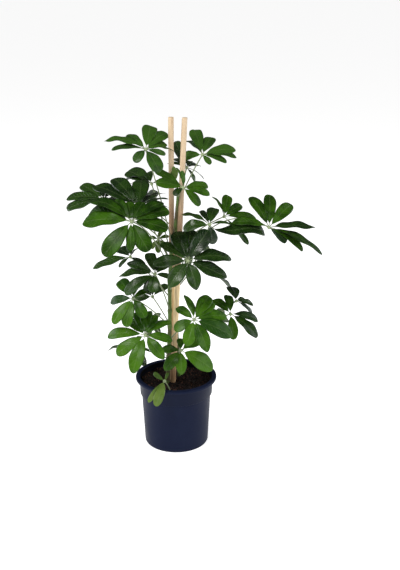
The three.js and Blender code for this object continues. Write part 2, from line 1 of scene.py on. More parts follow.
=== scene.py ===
"""The looks of a potted umbrella plant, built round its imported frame.

A dark plastic nursery pot filled with soil holds two wooden stakes and two stems. Each leaf is a
thin stalk with a hub at its end and a whorl of glossy oval leaflets. Sizes in the plans are in
millimetres; meshes are in metres, +Z up, with the plant's front towards -Y.
"""
from __future__ import annotations

import logging
import math
from dataclasses import dataclass, field
from enum import Enum, IntEnum

import bpy
import numpy as np
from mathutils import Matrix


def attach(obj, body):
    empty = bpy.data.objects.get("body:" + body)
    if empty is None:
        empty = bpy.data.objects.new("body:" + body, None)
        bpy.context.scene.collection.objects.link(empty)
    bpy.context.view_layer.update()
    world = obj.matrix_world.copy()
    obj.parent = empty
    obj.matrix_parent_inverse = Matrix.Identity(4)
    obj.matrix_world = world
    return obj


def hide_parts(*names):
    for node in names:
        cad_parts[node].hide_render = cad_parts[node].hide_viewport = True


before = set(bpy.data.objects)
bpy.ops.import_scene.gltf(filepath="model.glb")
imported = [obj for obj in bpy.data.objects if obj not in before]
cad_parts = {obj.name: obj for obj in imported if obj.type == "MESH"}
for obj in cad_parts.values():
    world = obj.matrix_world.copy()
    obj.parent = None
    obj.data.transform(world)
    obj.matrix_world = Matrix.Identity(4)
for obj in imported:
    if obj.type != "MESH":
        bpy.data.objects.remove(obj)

log = logging.getLogger("umbrella_plant")

MM = 0.001
SOIL_LEVEL = 156.0
Vector3 = tuple[float, float, float]
Colour = tuple[float, float, float]
Span = tuple[float, float]
Socket = bpy.types.NodeSocket

# Directions of leaflets are given as seen from the front, along a line that falls by this angle.
SIGHT_FALL = math.radians(19.5)
UP = np.array([0.0, 0.0, 1.0])
RIGHT = np.array([1.0, 0.0, 0.0])
RISE = np.array([0.0, math.sin(SIGHT_FALL), math.cos(SIGHT_FALL)])
TOWARD = np.array([0.0, -math.cos(SIGHT_FALL), math.sin(SIGHT_FALL)])


class Tone(Enum):
    """The greens of the plant's leaves, by the name of their material slot."""

    BRIGHT = "leaf_bright"
    GREEN = "leaf_green"
    DARK = "leaf_dark"
    YOUNG = "leaf_young"


class LeafPart(IntEnum):
    """The finishes of a leaf, in the order of its materials."""

    TOP = 0
    UNDER = 1
    STALK = 2


class StemName(Enum):
    """The stem that a leaf grows on, or none for one that grows from the soil."""

    FRONT = "front"
    BACK = "back"
    NONE = "none"


@dataclass(frozen=True)
class Leaflet:
    """One leaflet, as it is seen from the front.

    Args:
        seen: its direction, in degrees.
        reach: how far its tip lies from the hub, in millimetres.
        roll: the degrees by which its blade is turned about its own length.
        lean: the degrees by which it leans more to the front.
        broad: its breadth as a share of the leaf's.
        bow: its own arch, or none for the leaf's.
        wave: how high a double bend lifts it, as a share of its length.
        point: the power by which it narrows to its tip.
    """

    seen: float
    reach: float
    roll: float = 0.0
    lean: float = 0.0
    broad: float = 1.0
    bow: float | None = None
    wave: float = 0.0
    point: float = 0.46


@dataclass(frozen=True)
class LeafPlan:
    """Where a leaf grows, how its whorl faces and which leaflets it has.

    Args:
        name: the node that it replaces.
        tone: its green.
        stem: the stem that it grows on.
        root: the height on the stem where its stalk starts, in millimetres.
        arch: how far the stalk arches up, as a share of its length.
        hub: the middle of its whorl, in millimetres.
        face: how the whorl faces, in degrees: to the right, and tipped back.
        droop: the degrees by which its leaflets fall below the whorl's plane.
        broad: the breadth of its leaflets as a share of the common one.
        bow: how high its leaflets arch, as a share of their length.
        leaflets: its leaflets.
        foot: where its stalk meets the soil's level, for one without a stem.
    """

    name: str
    tone: Tone
    stem: StemName
    root: float
    arch: float
    hub: Vector3
    face: Span
    droop: float
    broad: float
    bow: float
    leaflets: tuple[Leaflet, ...]
    foot: Span = (0.0, 0.0)


# Centre lines of the two stems in millimetres, from inside the soil up.
FRONT_LINE = (
    (-23, -15, 100), (-19, -14, 179), (-16, -14, 238), (-13.2, -14, 315), (-12.5, -13.5, 403),
    (-7, -10, 487), (0, -6, 538), (7, -10, 605), (11, -15, 632),
)
BACK_LINE = (
    (8, 26, 100), (6, 25, 179), (3, 24, 260), (-1, 24, 350), (-2, 25, 430), (1, 27, 500), (6, 30, 560),
    (12, 32, 620),
)


def even_whorl(reach: float) -> tuple[Leaflet, ...]:
    """Seven leaflets spread evenly round a hub, some a few millimetres shorter than the others.

    Args:
        reach: the reach of the longest ones, in millimetres.

    Returns:
        The leaflets.
    """
    shorter = {0: 0, 52: 2, 103: 4, 154: 0, -154: 0, -103: 2, -52: 4}
    return tuple(Leaflet(seen, reach - less) for seen, less in shorter.items())


LEAVES: tuple[LeafPlan, ...] = (
    LeafPlan("leaf_top_left", Tone.GREEN, StemName.FRONT, 500, 0.04,
             (-61, -35, 724), (10, 33), 12, 1, 0.11, (
                 Leaflet(167, 95, 20, broad=0.86, bow=0.14, point=0.6),
                 Leaflet(180, 75, 18, broad=0.87), Leaflet(140, 57, broad=0.83, bow=0.12),
                 Leaflet(84, 63, broad=1.05), Leaflet(44, 63), Leaflet(21, 47, broad=1.15),
                 Leaflet(1, 59, -30, broad=0.9), Leaflet(-12, 44, 20, broad=0.8),
                 Leaflet(-128, 38, broad=1.5), Leaflet(-59, 60, broad=1.5))),
    LeafPlan("leaf_top_right", Tone.GREEN, StemName.BACK, 590, 0.04,
             (63, 15, 702), (-5, 30), 12, 1, 0.1, (
                 Leaflet(107, 69, broad=0.9), Leaflet(64, 50, broad=1.25), Leaflet(134, 52, 32),
                 Leaflet(11, 76), Leaflet(-4, 77, -25), Leaflet(-18, 57, -15),
                 Leaflet(-50, 29, broad=1.3), Leaflet(-172, 50, broad=1.4))),
    LeafPlan("leaf_top_front", Tone.GREEN, StemName.FRONT, 612, 0.04,
             (20, -32, 638), (10, 28), 10, 0.95, 0.1, (
                 Leaflet(6, 56), Leaflet(-13, 61), Leaflet(-48, 55, broad=1.15),
                 Leaflet(170, 60, 0, 14, broad=1.4), Leaflet(148, 74, 0, 14, broad=0.8),
                 Leaflet(109, 46, 40, 42, broad=0.8), Leaflet(94, 38, 20, 42, broad=0.9),
                 Leaflet(-140, 27, broad=1.6))),
    LeafPlan("leaf_tip_young", Tone.YOUNG, StemName.FRONT, 622, 0.04,
             (3, -15, 649), (0, 30), 5, 0.9, 0.08, (
                 Leaflet(116, 23, 0, 50), Leaflet(98, 32, 0, 50), Leaflet(82, 25, 0, 50))),
    LeafPlan("leaf_top_back", Tone.DARK, StemName.BACK, 575, 0.04,
             (27, 50, 665), (15, 52), 10, 0.9, 0.1, (
                 Leaflet(-33, 47, -28, -28), Leaflet(-62, 38, -18, -28, broad=1.2),
                 Leaflet(20, 30, 0, -10, broad=1.2), Leaflet(166, 46), Leaflet(140, 40, broad=1.4),
                 Leaflet(112, 70, -30, 36), Leaflet(70, 22))),
    LeafPlan("leaf_upper_left", Tone.DARK, StemName.FRONT, 470, 0.05,
             (-54, 55, 626), (-15, 40), 12, 1.1, 0.14, (
                 Leaflet(147, 72, broad=1.0, bow=0.05), Leaflet(165, 62, 35, broad=0.8),
                 Leaflet(176, 50, 20, broad=0.8), Leaflet(110, 34), Leaflet(8, 36))),
    LeafPlan("leaf_left_front", Tone.GREEN, StemName.FRONT, 440, 0.12,
             (-90, -110, 582), (-5, 22), 10, 1.3, 0.1, (
                 Leaflet(-179, 108, 10, 4, broad=0.8), Leaflet(168, 99, 4, -5, broad=0.95),
                 Leaflet(154, 110, 32, broad=0.7, bow=0.14), Leaflet(128, 64, broad=0.8),
                 Leaflet(100, 46), Leaflet(62, 50), Leaflet(33, 80, -25, broad=0.85),
                 Leaflet(17, 84, -10, broad=0.9), Leaflet(-12, 80, -15), Leaflet(-60, 75),
                 Leaflet(-89, 63, 22, broad=0.75), Leaflet(-128, 95, broad=0.9))),
    LeafPlan("leaf_left_far", Tone.DARK, StemName.BACK, 470, 0.05,
             (-162, 20, 600), (-10, 42), 12, 1, 0.04, (
                 Leaflet(176, 90, 5), Leaflet(-166, 90, -5), Leaflet(146, 71, broad=0.85, bow=0.03),
                 Leaflet(100, 28), Leaflet(-20, 56, bow=0.12), Leaflet(45, 36))),
    LeafPlan("leaf_left_middle", Tone.DARK, StemName.FRONT, 455, 0.05,
             (-78, -48, 597), (0, 32), 10, 1, 0.1, (
                 Leaflet(153, 119, 17, broad=0.85, bow=0.08), Leaflet(162, 74, 30, broad=0.8),
                 Leaflet(131, 95, broad=0.85), Leaflet(88, 67, broad=1.2),
                 Leaflet(34, 66, -30, -14, broad=0.9), Leaflet(17, 68, -38, 12, broad=0.8),
                 Leaflet(1, 66, -42, broad=0.8))),
    LeafPlan("leaf_right_middle", Tone.DARK, StemName.BACK, 380, -0.12,
             (79, -40, 555), (5, 36), 12, 1, 0.12, (
                 Leaflet(120, 40, broad=0.8), Leaflet(75, 43, broad=1.2), Leaflet(159, 67, 28, 14),
                 Leaflet(-170, 60, -10, broad=1.25, bow=0.2), Leaflet(-80, 44, 0, -25, broad=1.5),
                 Leaflet(-9, 127, -10, broad=0.9, bow=0, wave=-0.09), Leaflet(2, 48, -20, broad=0.8))),
    LeafPlan("leaf_right_back", Tone.GREEN, StemName.BACK, 480, 0.05,
             (113, 40, 552), (10, 24), 10, 1.05, 0.1, (
                 Leaflet(80, 54), Leaflet(36, 51), Leaflet(119, 56, 42, broad=0.8),
                 Leaflet(-4, 78, -20, broad=0.9), Leaflet(-49, 86, -20, broad=0.6, bow=0.04))),
    LeafPlan("leaf_right_far", Tone.GREEN, StemName.BACK, 430, 0.25,
             (213, -20, 543), (10, 20), 10, 1, 0.1, (
                 Leaflet(119, 83, broad=0.85), Leaflet(87, 79, broad=0.9), Leaflet(46, 79, broad=0.9),
                 Leaflet(1, 111, -38, broad=0.8, bow=0.06, point=0.66),
                 Leaflet(-34, 94, -25, broad=0.85),
                 Leaflet(-26, 138, -42, broad=0.85, bow=0.07, point=0.66), Leaflet(-40, 52, broad=1.2),
                 Leaflet(172, 84, 14, broad=0.8, bow=0.14))),
    LeafPlan("leaf_centre_front", Tone.DARK, StemName.FRONT, 390, 0.05,
             (31, -85, 485), (5, 20), 8, 1.15, 0.1, (
                 Leaflet(112, 72, broad=1.2), Leaflet(86, 72, broad=1.15),
                 Leaflet(57, 82, 0, 22, broad=1.1),
                 Leaflet(2, 97, -20, broad=0.88, bow=0.16, point=0.7),
                 Leaflet(-23, 94, -10, broad=0.9, bow=0.06, point=0.72),
                 Leaflet(-74, 68, broad=1.15, point=0.75), Leaflet(-125, 72, broad=1.15, point=0.7),
                 Leaflet(-175, 78, broad=0.9, point=0.6), Leaflet(148, 73, 20))),
    LeafPlan("leaf_centre_left", Tone.DARK, StemName.FRONT, 340, 0.05,
             (-43, -70, 449), (-5, 32), 12, 1.1, 0.11, (
                 Leaflet(109, 52, broad=0.9), Leaflet(158, 71, broad=0.75, point=0.66),
                 Leaflet(-176, 84, 28, broad=1.05, point=0.62), Leaflet(-146, 81, broad=0.9),
                 Leaflet(-122, 44, broad=0.9), Leaflet(-96, 42, broad=1.5), Leaflet(-12, 35),
                 Leaflet(74, 40, broad=0.8), Leaflet(36, 38))),
    LeafPlan("leaf_centre_back", Tone.YOUNG, StemName.BACK, 430, 0.05,
             (-40, 46, 496), (-10, 30), 14, 1.15, 0.1, (
                 Leaflet(-124, 28), Leaflet(-88, 33), Leaflet(-50, 32), Leaflet(68, 20),
                 Leaflet(16, 26), Leaflet(172, 24))),
    LeafPlan("leaf_centre_left_back", Tone.DARK, StemName.BACK, 340, 0.05,
             (-106, 40, 454), (-15, 42), 12, 0.95, 0.1, (
                 Leaflet(-164, 95, 8, bow=0.05, point=0.68), Leaflet(-137, 36),
                 Leaflet(146, 38, broad=1.4), Leaflet(46, 34, -30), Leaflet(88, 42), Leaflet(-34, 44))),
    LeafPlan("leaf_low_left_back", Tone.DARK, StemName.BACK, 250, 0.05,
             (-55, 30, 358), (0, 45), 10, 1, 0.11, (
                 Leaflet(36, 47), Leaflet(-173, 48, -20, broad=1.3), Leaflet(100, 28), Leaflet(150, 34))),
    LeafPlan("leaf_low_left_far", Tone.BRIGHT, StemName.FRONT, 300, 0.05,
             (-93, -75, 393), (-10, 30), 14, 1.15, 0.11, (
                 Leaflet(-171, 54), Leaflet(-128, 73, broad=0.9), Leaflet(-103, 66),
                 Leaflet(-57, 52, broad=1.15), Leaflet(130, 54), Leaflet(84, 42), Leaflet(30, 34))),
    LeafPlan("leaf_low_left_front", Tone.BRIGHT, StemName.FRONT, 225, 0.05,
             (-66, -95, 311), (-5, 25), 10, 1.1, 0.12, (
                 Leaflet(-178, 88, 8, broad=0.82, bow=0.18), Leaflet(-146, 79),
                 Leaflet(-108, 89, broad=0.95, point=0.58), Leaflet(-51, 68, point=0.68),
                 Leaflet(-12, 63, -10, broad=0.95, point=0.6), Leaflet(27, 64, -25, broad=0.9),
                 Leaflet(63, 50), Leaflet(88, 54), Leaflet(111, 58), Leaflet(140, 52, broad=0.9))),
    LeafPlan("leaf_low_right_front", Tone.BRIGHT, StemName.FRONT, 265, 0.05,
             (44, -90, 347), (5, 25), 12, 1.15, 0.1, (
                 Leaflet(146, 48), Leaflet(112, 60, 35, broad=0.8, point=0.7), Leaflet(57, 63),
                 Leaflet(42, 59), Leaflet(5, 75, -10, broad=0.95), Leaflet(-152, 50, broad=1.25),
                 Leaflet(-106, 61, broad=1.2, point=0.62), Leaflet(-67, 79, broad=0.95, point=0.7),
                 Leaflet(-24, 95, point=0.62))),
    LeafPlan("leaf_low_right_far", Tone.GREEN, StemName.BACK, 240, 0.05,
             (129, 0, 326), (10, 32), 14, 1.1, 0.11, (
                 Leaflet(99, 45, broad=0.9), Leaflet(140, 52), Leaflet(-14, 68, -14),
                 Leaflet(-41, 84, -8, broad=0.9), Leaflet(-84, 60))),
    LeafPlan("leaf_low_right_back", Tone.DARK, StemName.BACK, 210, 0.05,
             (146, 90, 325), (20, 42), 12, 1, 0.1, (
                 Leaflet(-13, 44, broad=1.1), Leaflet(-39, 50, -15), Leaflet(16, 22),
                 Leaflet(110, 37, broad=1.5), Leaflet(125, 68, 72, broad=0.5), Leaflet(-152, 30))),
    LeafPlan("leaf_low_centre", Tone.BRIGHT, StemName.FRONT, 195, 0.05,
             (13, -60, 259), (5, 25), 16, 1.3, 0.1, (
                 Leaflet(-32, 87, point=0.6), Leaflet(-88, 56, point=0.7),
                 Leaflet(-129, 59, point=0.65), Leaflet(29, 54), Leaflet(96, 27), Leaflet(178, 44))),
    LeafPlan("leaf_low_back", Tone.DARK, StemName.BACK, 185, 0.05,
             (-105, 60, 215), (-20, 45), 12, 0.9, 0.1, (
                 Leaflet(-172, 66, 20), Leaflet(-145, 36), Leaflet(-54, 52), Leaflet(-12, 40, -30),
                 Leaflet(60, 30))),
    LeafPlan("leaf_behind_upper", Tone.DARK, StemName.BACK, 520, 0.05,
             (-72, 105, 560), (180, 30), 12, 1.2, 0.1, even_whorl(45)),
    LeafPlan("leaf_behind_middle", Tone.GREEN, StemName.BACK, 400, 0.05,
             (36, 118, 450), (170, 30), 12, 1.2, 0.1, even_whorl(45)),
    LeafPlan("leaf_behind_right", Tone.GREEN, StemName.BACK, 225, 0.05,
             (92, 108, 268), (160, 30), 12, 1.2, 0.1, even_whorl(36)),
    LeafPlan("leaf_behind_left", Tone.GREEN, StemName.BACK, 200, 0.05,
             (-62, 100, 262), (-160, 30), 12, 1.2, 0.1, even_whorl(36)),
    LeafPlan("shoot_front", Tone.YOUNG, StemName.NONE, 0, 0.1,
             (-25, -73, 187), (0, 10), 8, 0.95, 0.12, (
                 Leaflet(-109, 57, 0, 34, broad=0.95), Leaflet(-129, 58, 0, 32, broad=0.62),
                 Leaflet(144, 32), Leaflet(67, 20)), foot=(-4, -64)),
)


def unit(v: np.ndarray) -> np.ndarray:
    """Returns vectors scaled to length one along their last axis."""
    return v / np.maximum(np.linalg.norm(v, axis=-1, keepdims=True), 1e-12)


def turned_about(v: np.ndarray, axis: np.ndarray, angle: float) -> np.ndarray:
    """Turns a vector about a unit axis it is square to, by the right-hand rule.

    Args:
        v: the vector.
        axis: the unit axis.
        angle: the turn in radians.

    Returns:
        The turned vector.
    """
    return v * math.cos(angle) + np.cross(axis, v) * math.sin(angle)


def circle(sides: int) -> np.ndarray:
    """Evenly spaced places on a level circle with a radius of one, as sides by 3."""
    angle = np.arange(sides) * 2 * math.pi / sides
    return np.stack([np.cos(angle), np.sin(angle), np.zeros(sides)], axis=-1)


def ball(rows: int, sides: int, margin: float) -> np.ndarray:
    """Rings on a ball with a radius of one, from its foot to its top.

    Args:
        rows: how many rings.
        sides: the places on each.
        margin: the angle that is left open at either end, in radians.

    Returns:
        The places, rows by sides by 3.
    """
    lift = np.linspace(-math.pi / 2 + margin, math.pi / 2 - margin, rows)[:, None, None]
    return np.cos(lift) * circle(sides) + np.sin(lift) * UP


def soft_noise(points: np.ndarray, scale: float, seed: int, octaves: int = 3, waves: int = 5) -> np.ndarray:
    """A smooth pattern between about -1 and 1: a sum of sines in seeded directions.

    Args:
        points: places, with three numbers on the last axis.
        scale: the size of its largest swells, in the unit of the places.
        seed: picks the pattern.
        octaves: how many layers it has, each finer and fainter than the one before.
        waves: the sines in each layer.

    Returns:
        One number for each place.
    """
    finer, fainter, spread, whole = 2.1, 0.62, 1.7, 1.2
    rng = np.random.default_rng(seed)
    total = np.zeros(points.shape[:-1])
    for octave in range(octaves):
        ways = rng.normal(size=(waves, 3)) * (finer ** octave) * 2 * math.pi / scale / spread
        phases = rng.uniform(0, 2 * math.pi, waves)
        total += np.sin(points @ ways.T + phases).sum(axis=-1) / waves * fainter ** octave
    return total / whole


@dataclass
class Surface:
    """A mesh being put together from grids, with a texture map, a tint and a finish per face.

    Args:
        name: the object's name.
        points: the places of each piece, in metres.
        faces: its corners.
        uvs: its texture places.
        tints: its tints.
        finishes: the material index of its faces.
        count: how many points the pieces have so far.
    """

    name: str
    points: list[np.ndarray] = field(default_factory=list)
    faces: list[np.ndarray] = field(default_factory=list)
    uvs: list[np.ndarray] = field(default_factory=list)
    tints: list[np.ndarray] = field(default_factory=list)
    finishes: list[np.ndarray] = field(default_factory=list)
    count: int = 0

    def add(self, points: np.ndarray, faces: np.ndarray, uvs: np.ndarray, tint: np.ndarray,
            finish: np.ndarray) -> None:
        """Adds a piece of mesh.

        Args:
            points: places, n by 3, in metres.
            faces: corners, m by 4; a triangle repeats its third corner.
            uvs: the texture place of each point, n by 2.
            tint: a number per point, n.
            finish: the index of each face's material, m.
        """
        self.points.append(points)
        self.faces.append(faces + self.count)
        self.uvs.append(uvs)
        self.tints.append(tint)
        self.finishes.append(finish)
        self.count += len(points)

    def tubes(self, rings: np.ndarray, uv: np.ndarray, tint: np.ndarray, finish: np.ndarray) -> None:
        """Adds closed tubes: each a stack of rings whose two ends close in a point.

        Args:
            rings: places, tubes by rings by sides by 3, counter-clockwise seen from the end.
            uv: texture places, tubes by rings by sides by 2.
            tint: a number per tube and ring, tubes by rings.
            finish: material index per tube, ring gap and side, tubes by rings - 1 by sides.
        """
        tubes, stations, sides = rings.shape[:3]
        each = stations * sides + 2
        base = np.arange(tubes)[:, None, None] * each
        ring = np.arange(stations - 1)[None, :, None] * sides
        side = np.arange(sides)[None, None, :]
        after = (side + 1) % sides
        quads = np.stack([base + ring + side, base + ring + after, base + ring + sides + after,
                          base + ring + sides + side], axis=-1).reshape(-1, 4)
        low = base + stations * sides + 0 * side
        high = low + 1
        last = (stations - 1) * sides
        start = np.stack([low, base + after, base + side, base + side], axis=-1).reshape(-1, 4)
        end = np.stack([high, base + last + side, base + last + after, base + last + after],
                       axis=-1).reshape(-1, 4)
        middle = rings.mean(axis=2)
        points = np.concatenate([rings.reshape(tubes, -1, 3), middle[:, :1], middle[:, -1:]], axis=1)
        mid_uv = uv.mean(axis=2)
        uvs = np.concatenate([uv.reshape(tubes, -1, 2), mid_uv[:, :1], mid_uv[:, -1:]], axis=1)
        tints = np.repeat(tint, sides, axis=1)
        tints = np.concatenate([tints, tint[:, :1], tint[:, -1:]], axis=1)
        faces = np.concatenate([quads, start, end])
        marks = np.concatenate([finish.reshape(-1), finish[:, 0].reshape(-1), finish[:, -1].reshape(-1)])
        self.add(points.reshape(-1, 3), faces, uvs.reshape(-1, 2), tints.reshape(-1), marks)

    def plain_tubes(self, rings: np.ndarray, tint: np.ndarray, finish: int) -> None:
        """Adds closed tubes that have one finish and need no texture map.

        Args:
            rings: places, tubes by rings by sides by 3.
            tint: a number per tube and ring, tubes by rings.
            finish: the index of their material.
        """
        tubes, stations, sides = rings.shape[:3]
        marks = np.full((tubes, stations - 1, sides), finish, dtype=int)
        self.tubes(rings, np.zeros((tubes, stations, sides, 2)), tint, marks)

    def make(self, materials: list[bpy.types.Material], node: str, slot: str) -> bpy.types.Object:
        """Turns the pieces into one smooth object that stands for a node of the frame.

        Args:
            materials: the finishes, in the order of their indices.
            node: the node that the object replaces.
            slot: the record's material slot; not used.

        Returns:
            The new object.
        """
        points = np.concatenate(self.points)
        faces = np.concatenate(self.faces)
        uvs = np.concatenate(self.uvs)
        tints = np.concatenate(self.tints)
        finish = np.concatenate(self.finishes)
        three = faces[:, 2] == faces[:, 3]
        sizes = np.where(three, 3, 4)
        keep = np.ones_like(faces, dtype=bool)
        keep[three, 3] = False
        corners = faces[keep]
        starts = np.concatenate([[0], np.cumsum(sizes)[:-1]])
        mesh = bpy.data.meshes.new(self.name)
        mesh.vertices.add(len(points))
        mesh.vertices.foreach_set("co", points.astype(np.float32).ravel())
        mesh.loops.add(len(corners))
        mesh.loops.foreach_set("vertex_index", corners.astype(np.int32))
        mesh.polygons.add(len(sizes))
        mesh.polygons.foreach_set("loop_start", starts.astype(np.int32))
        mesh.polygons.foreach_set("loop_total", sizes.astype(np.int32))
        for material in materials:
            mesh.materials.append(material)
        mesh.polygons.foreach_set("material_index", finish.astype(np.int32))
        mesh.polygons.foreach_set("use_smooth", np.ones(len(sizes), dtype=bool))
        layer = mesh.uv_layers.new(name="place")
        layer.data.foreach_set("uv", uvs[corners].astype(np.float32).ravel())
        shade = mesh.attributes.new(name="tint", type="FLOAT", domain="POINT")
        shade.data.foreach_set("value", tints.astype(np.float32))
        mesh.validate()
        mesh.update()
        made = bpy.data.objects.new(self.name, mesh)
        bpy.context.scene.collection.objects.link(made)
        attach(made, "root")
        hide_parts(node)
        return made


@dataclass(frozen=True)
class Pattern:
    """A soft cloudy pattern from 0 to 1.

    Args:
        scale: its cells per metre.
        detail: how many finer layers it has.
        shown: its value where a finish starts to show, and where it shows in full.
        stretch: scales the place first, by axis.
        rough: how strong its finer layers are.
    """

    scale: float
    detail: float = 3.0
    shown: Span = (0.0, 1.0)
    stretch: Vector3 | None = None
    rough: float = 0.55


@dataclass
class NodeTree:
    """A short way to write a material's nodes.

    Args:
        material: the material.
    """

    material: bpy.types.Material

    @classmethod
    def new(cls, name: str) -> "NodeTree":
        """Makes an empty material.

        Args:
            name: its name.

        Returns:
            Its tree.
        """
        material = bpy.data.materials.new(name)
        material.use_nodes = True
        material.node_tree.nodes.clear()
        return cls(material)

    def node(self, kind: str, **values: object) -> bpy.types.Node:
        """Adds a node.

        Args:
            kind: the node's type without its prefix.
            values: its properties by name, and its inputs by name with spaces as underscores;
                a socket is linked and anything else is set.

        Returns:
            The node.
        """
        made = self.material.node_tree.nodes.new("ShaderNode" + kind)
        for key, value in values.items():
            if hasattr(made, key) and not isinstance(value, Socket):
                setattr(made, key, value)
                continue
            socket = made.inputs[int(key[1:])] if key[0] == "i" and key[1:].isdigit() \
                else made.inputs[key.replace("_", " ")]
            if isinstance(value, Socket):
                self.material.node_tree.links.new(value, socket)
            else:
                socket.default_value = value
        return made

    def place(self) -> Socket:
        """The place on the object, in metres."""
        return self.node("TexCoord").outputs["Object"]

    def height(self) -> Socket:
        """The height above the floor, in metres."""
        return self.node("SeparateXYZ", Vector=self.place()).outputs[2]

    def tint(self) -> Socket:
        """The tint that the mesh carries at this place."""
        return self.node("Attribute", attribute_name="tint").outputs["Fac"]

    def blade(self) -> tuple[Socket, Socket]:
        """The place on a blade, from the mesh's own map.

        Returns:
            The place across, from 0 at the rib to 1 at the edge, and along, from 0 at its foot
            to 1 at its tip.
        """
        parts = self.node("SeparateXYZ", Vector=self.node("UVMap", uv_map="place").outputs[0])
        across = self.math("ABSOLUTE", self.math("MULTIPLY_ADD", parts.outputs[0], 2.0, -1.0))
        return across, parts.outputs[1]

    def math(self, operation: str, a: object, b: object = 0.0, c: object = 0.0,
             clamp: bool = False) -> Socket:
        """A sum on one, two or three values.

        Args:
            operation: Blender's name of it.
            a: the first value or socket.
            b: the second one.
            c: the third one.
            clamp: keeps the result between 0 and 1.

        Returns:
            The result.
        """
        return self.node("Math", operation=operation, use_clamp=clamp, i0=a, i1=b, i2=c).outputs[0]

    def span(self, value: Socket, low: float, high: float, to_low: float = 0.0,
             to_high: float = 1.0) -> Socket:
        """Maps a value from one span onto another, smoothly and kept inside it.

        Args:
            value: the value.
            low: where it gives the first result.
            high: where it gives the last one.
            to_low: the first result.
            to_high: the last one.

        Returns:
            The result.
        """
        made = self.node("MapRange", interpolation_type="SMOOTHSTEP", Value=value, From_Min=low,
                         From_Max=high, To_Min=to_low, To_Max=to_high)
        return made.outputs[0]

    def noise(self, pattern: Pattern) -> Socket:
        """Adds a pattern's nodes.

        Args:
            pattern: the pattern.

        Returns:
            Its value, from 0 to 1.
        """
        where = self.place()
        if pattern.stretch is not None:
            where = self.node("Mapping", Vector=where, Scale=pattern.stretch).outputs[0]
        return self.node("TexNoise", Vector=where, Scale=pattern.scale, Detail=pattern.detail,
                         Roughness=pattern.rough).outputs["Fac"]

    def shown(self, pattern: Pattern) -> Socket:
        """A pattern's patches: 0 beside them and 1 where they show in full."""
        return self.span(self.noise(pattern), *pattern.shown)

    def rough(self, value: Socket, limits: Span, part: Span = (0.2, 0.8)) -> Socket:
        """A roughness between two limits that follows a value over this part of its span."""
        return self.span(value, *part, *limits)

    def blend(self, share: object, low: object, high: object) -> Socket:
        """Mixes two colours.

        Args:
            share: how much of the second.
            low: the first colour or socket.
            high: the second one.

        Returns:
            The mixed colour.
        """
        low = (*low, 1.0) if isinstance(low, tuple) else low
        high = (*high, 1.0) if isinstance(high, tuple) else high
        made = self.node("Mix", data_type="RGBA", blend_type="MIX", clamp_factor=True, i0=share,
                         i6=low, i7=high)
        return made.outputs[2]

    def over(self, colour: Socket, top: Colour, mask: Socket, most: float) -> Socket:
        """Lays a colour over another one.

        Args:
            colour: the colour below.
            top: the one above.
            mask: where it lies, from 0 to 1.
            most: its share where it lies in full.

        Returns:
            The mixed colour.
        """
        return self.blend(self.math("MULTIPLY", mask, most), colour, top)

    def bump(self, height: Socket, depth: float, strength: float = 1.0,
             under: Socket | None = None) -> Socket:
        """Turns a height pattern into a bent normal.

        Args:
            height: the pattern.
            depth: what one of it is worth, in metres.
            strength: how much it shows.
            under: a normal that it is laid over.

        Returns:
            The normal.
        """
        made = self.node("Bump", Height=height, Distance=depth, Strength=strength)
        if under is not None:
            self.material.node_tree.links.new(under, made.inputs["Normal"])
        return made.outputs[0]

    def skin(self, colour: Socket, rough: object, normal: Socket, shine: float) -> Socket:
        """Adds a surface.

        Args:
            colour: its colour.
            rough: its roughness.
            normal: its bent normal.
            shine: the strength of its reflections.

        Returns:
            The shader.
        """
        return self.node("BsdfPrincipled", Base_Color=colour, Roughness=rough, Normal=normal,
                         Specular_IOR_Level=shine).outputs[0]

    def thin(self, skin: Socket, colour: Socket, share: float = 0.14) -> Socket:
        """A thin skin that lets this share of the light through, in this colour."""
        through = self.node("BsdfTranslucent", Color=colour).outputs[0]
        return self.node("MixShader", i0=share, i1=skin, i2=through).outputs[0]

    def out(self, shader: Socket) -> bpy.types.Material:
        """Ends the tree with this shader and returns the material."""
        self.node("OutputMaterial", Surface=shader)
        return self.material


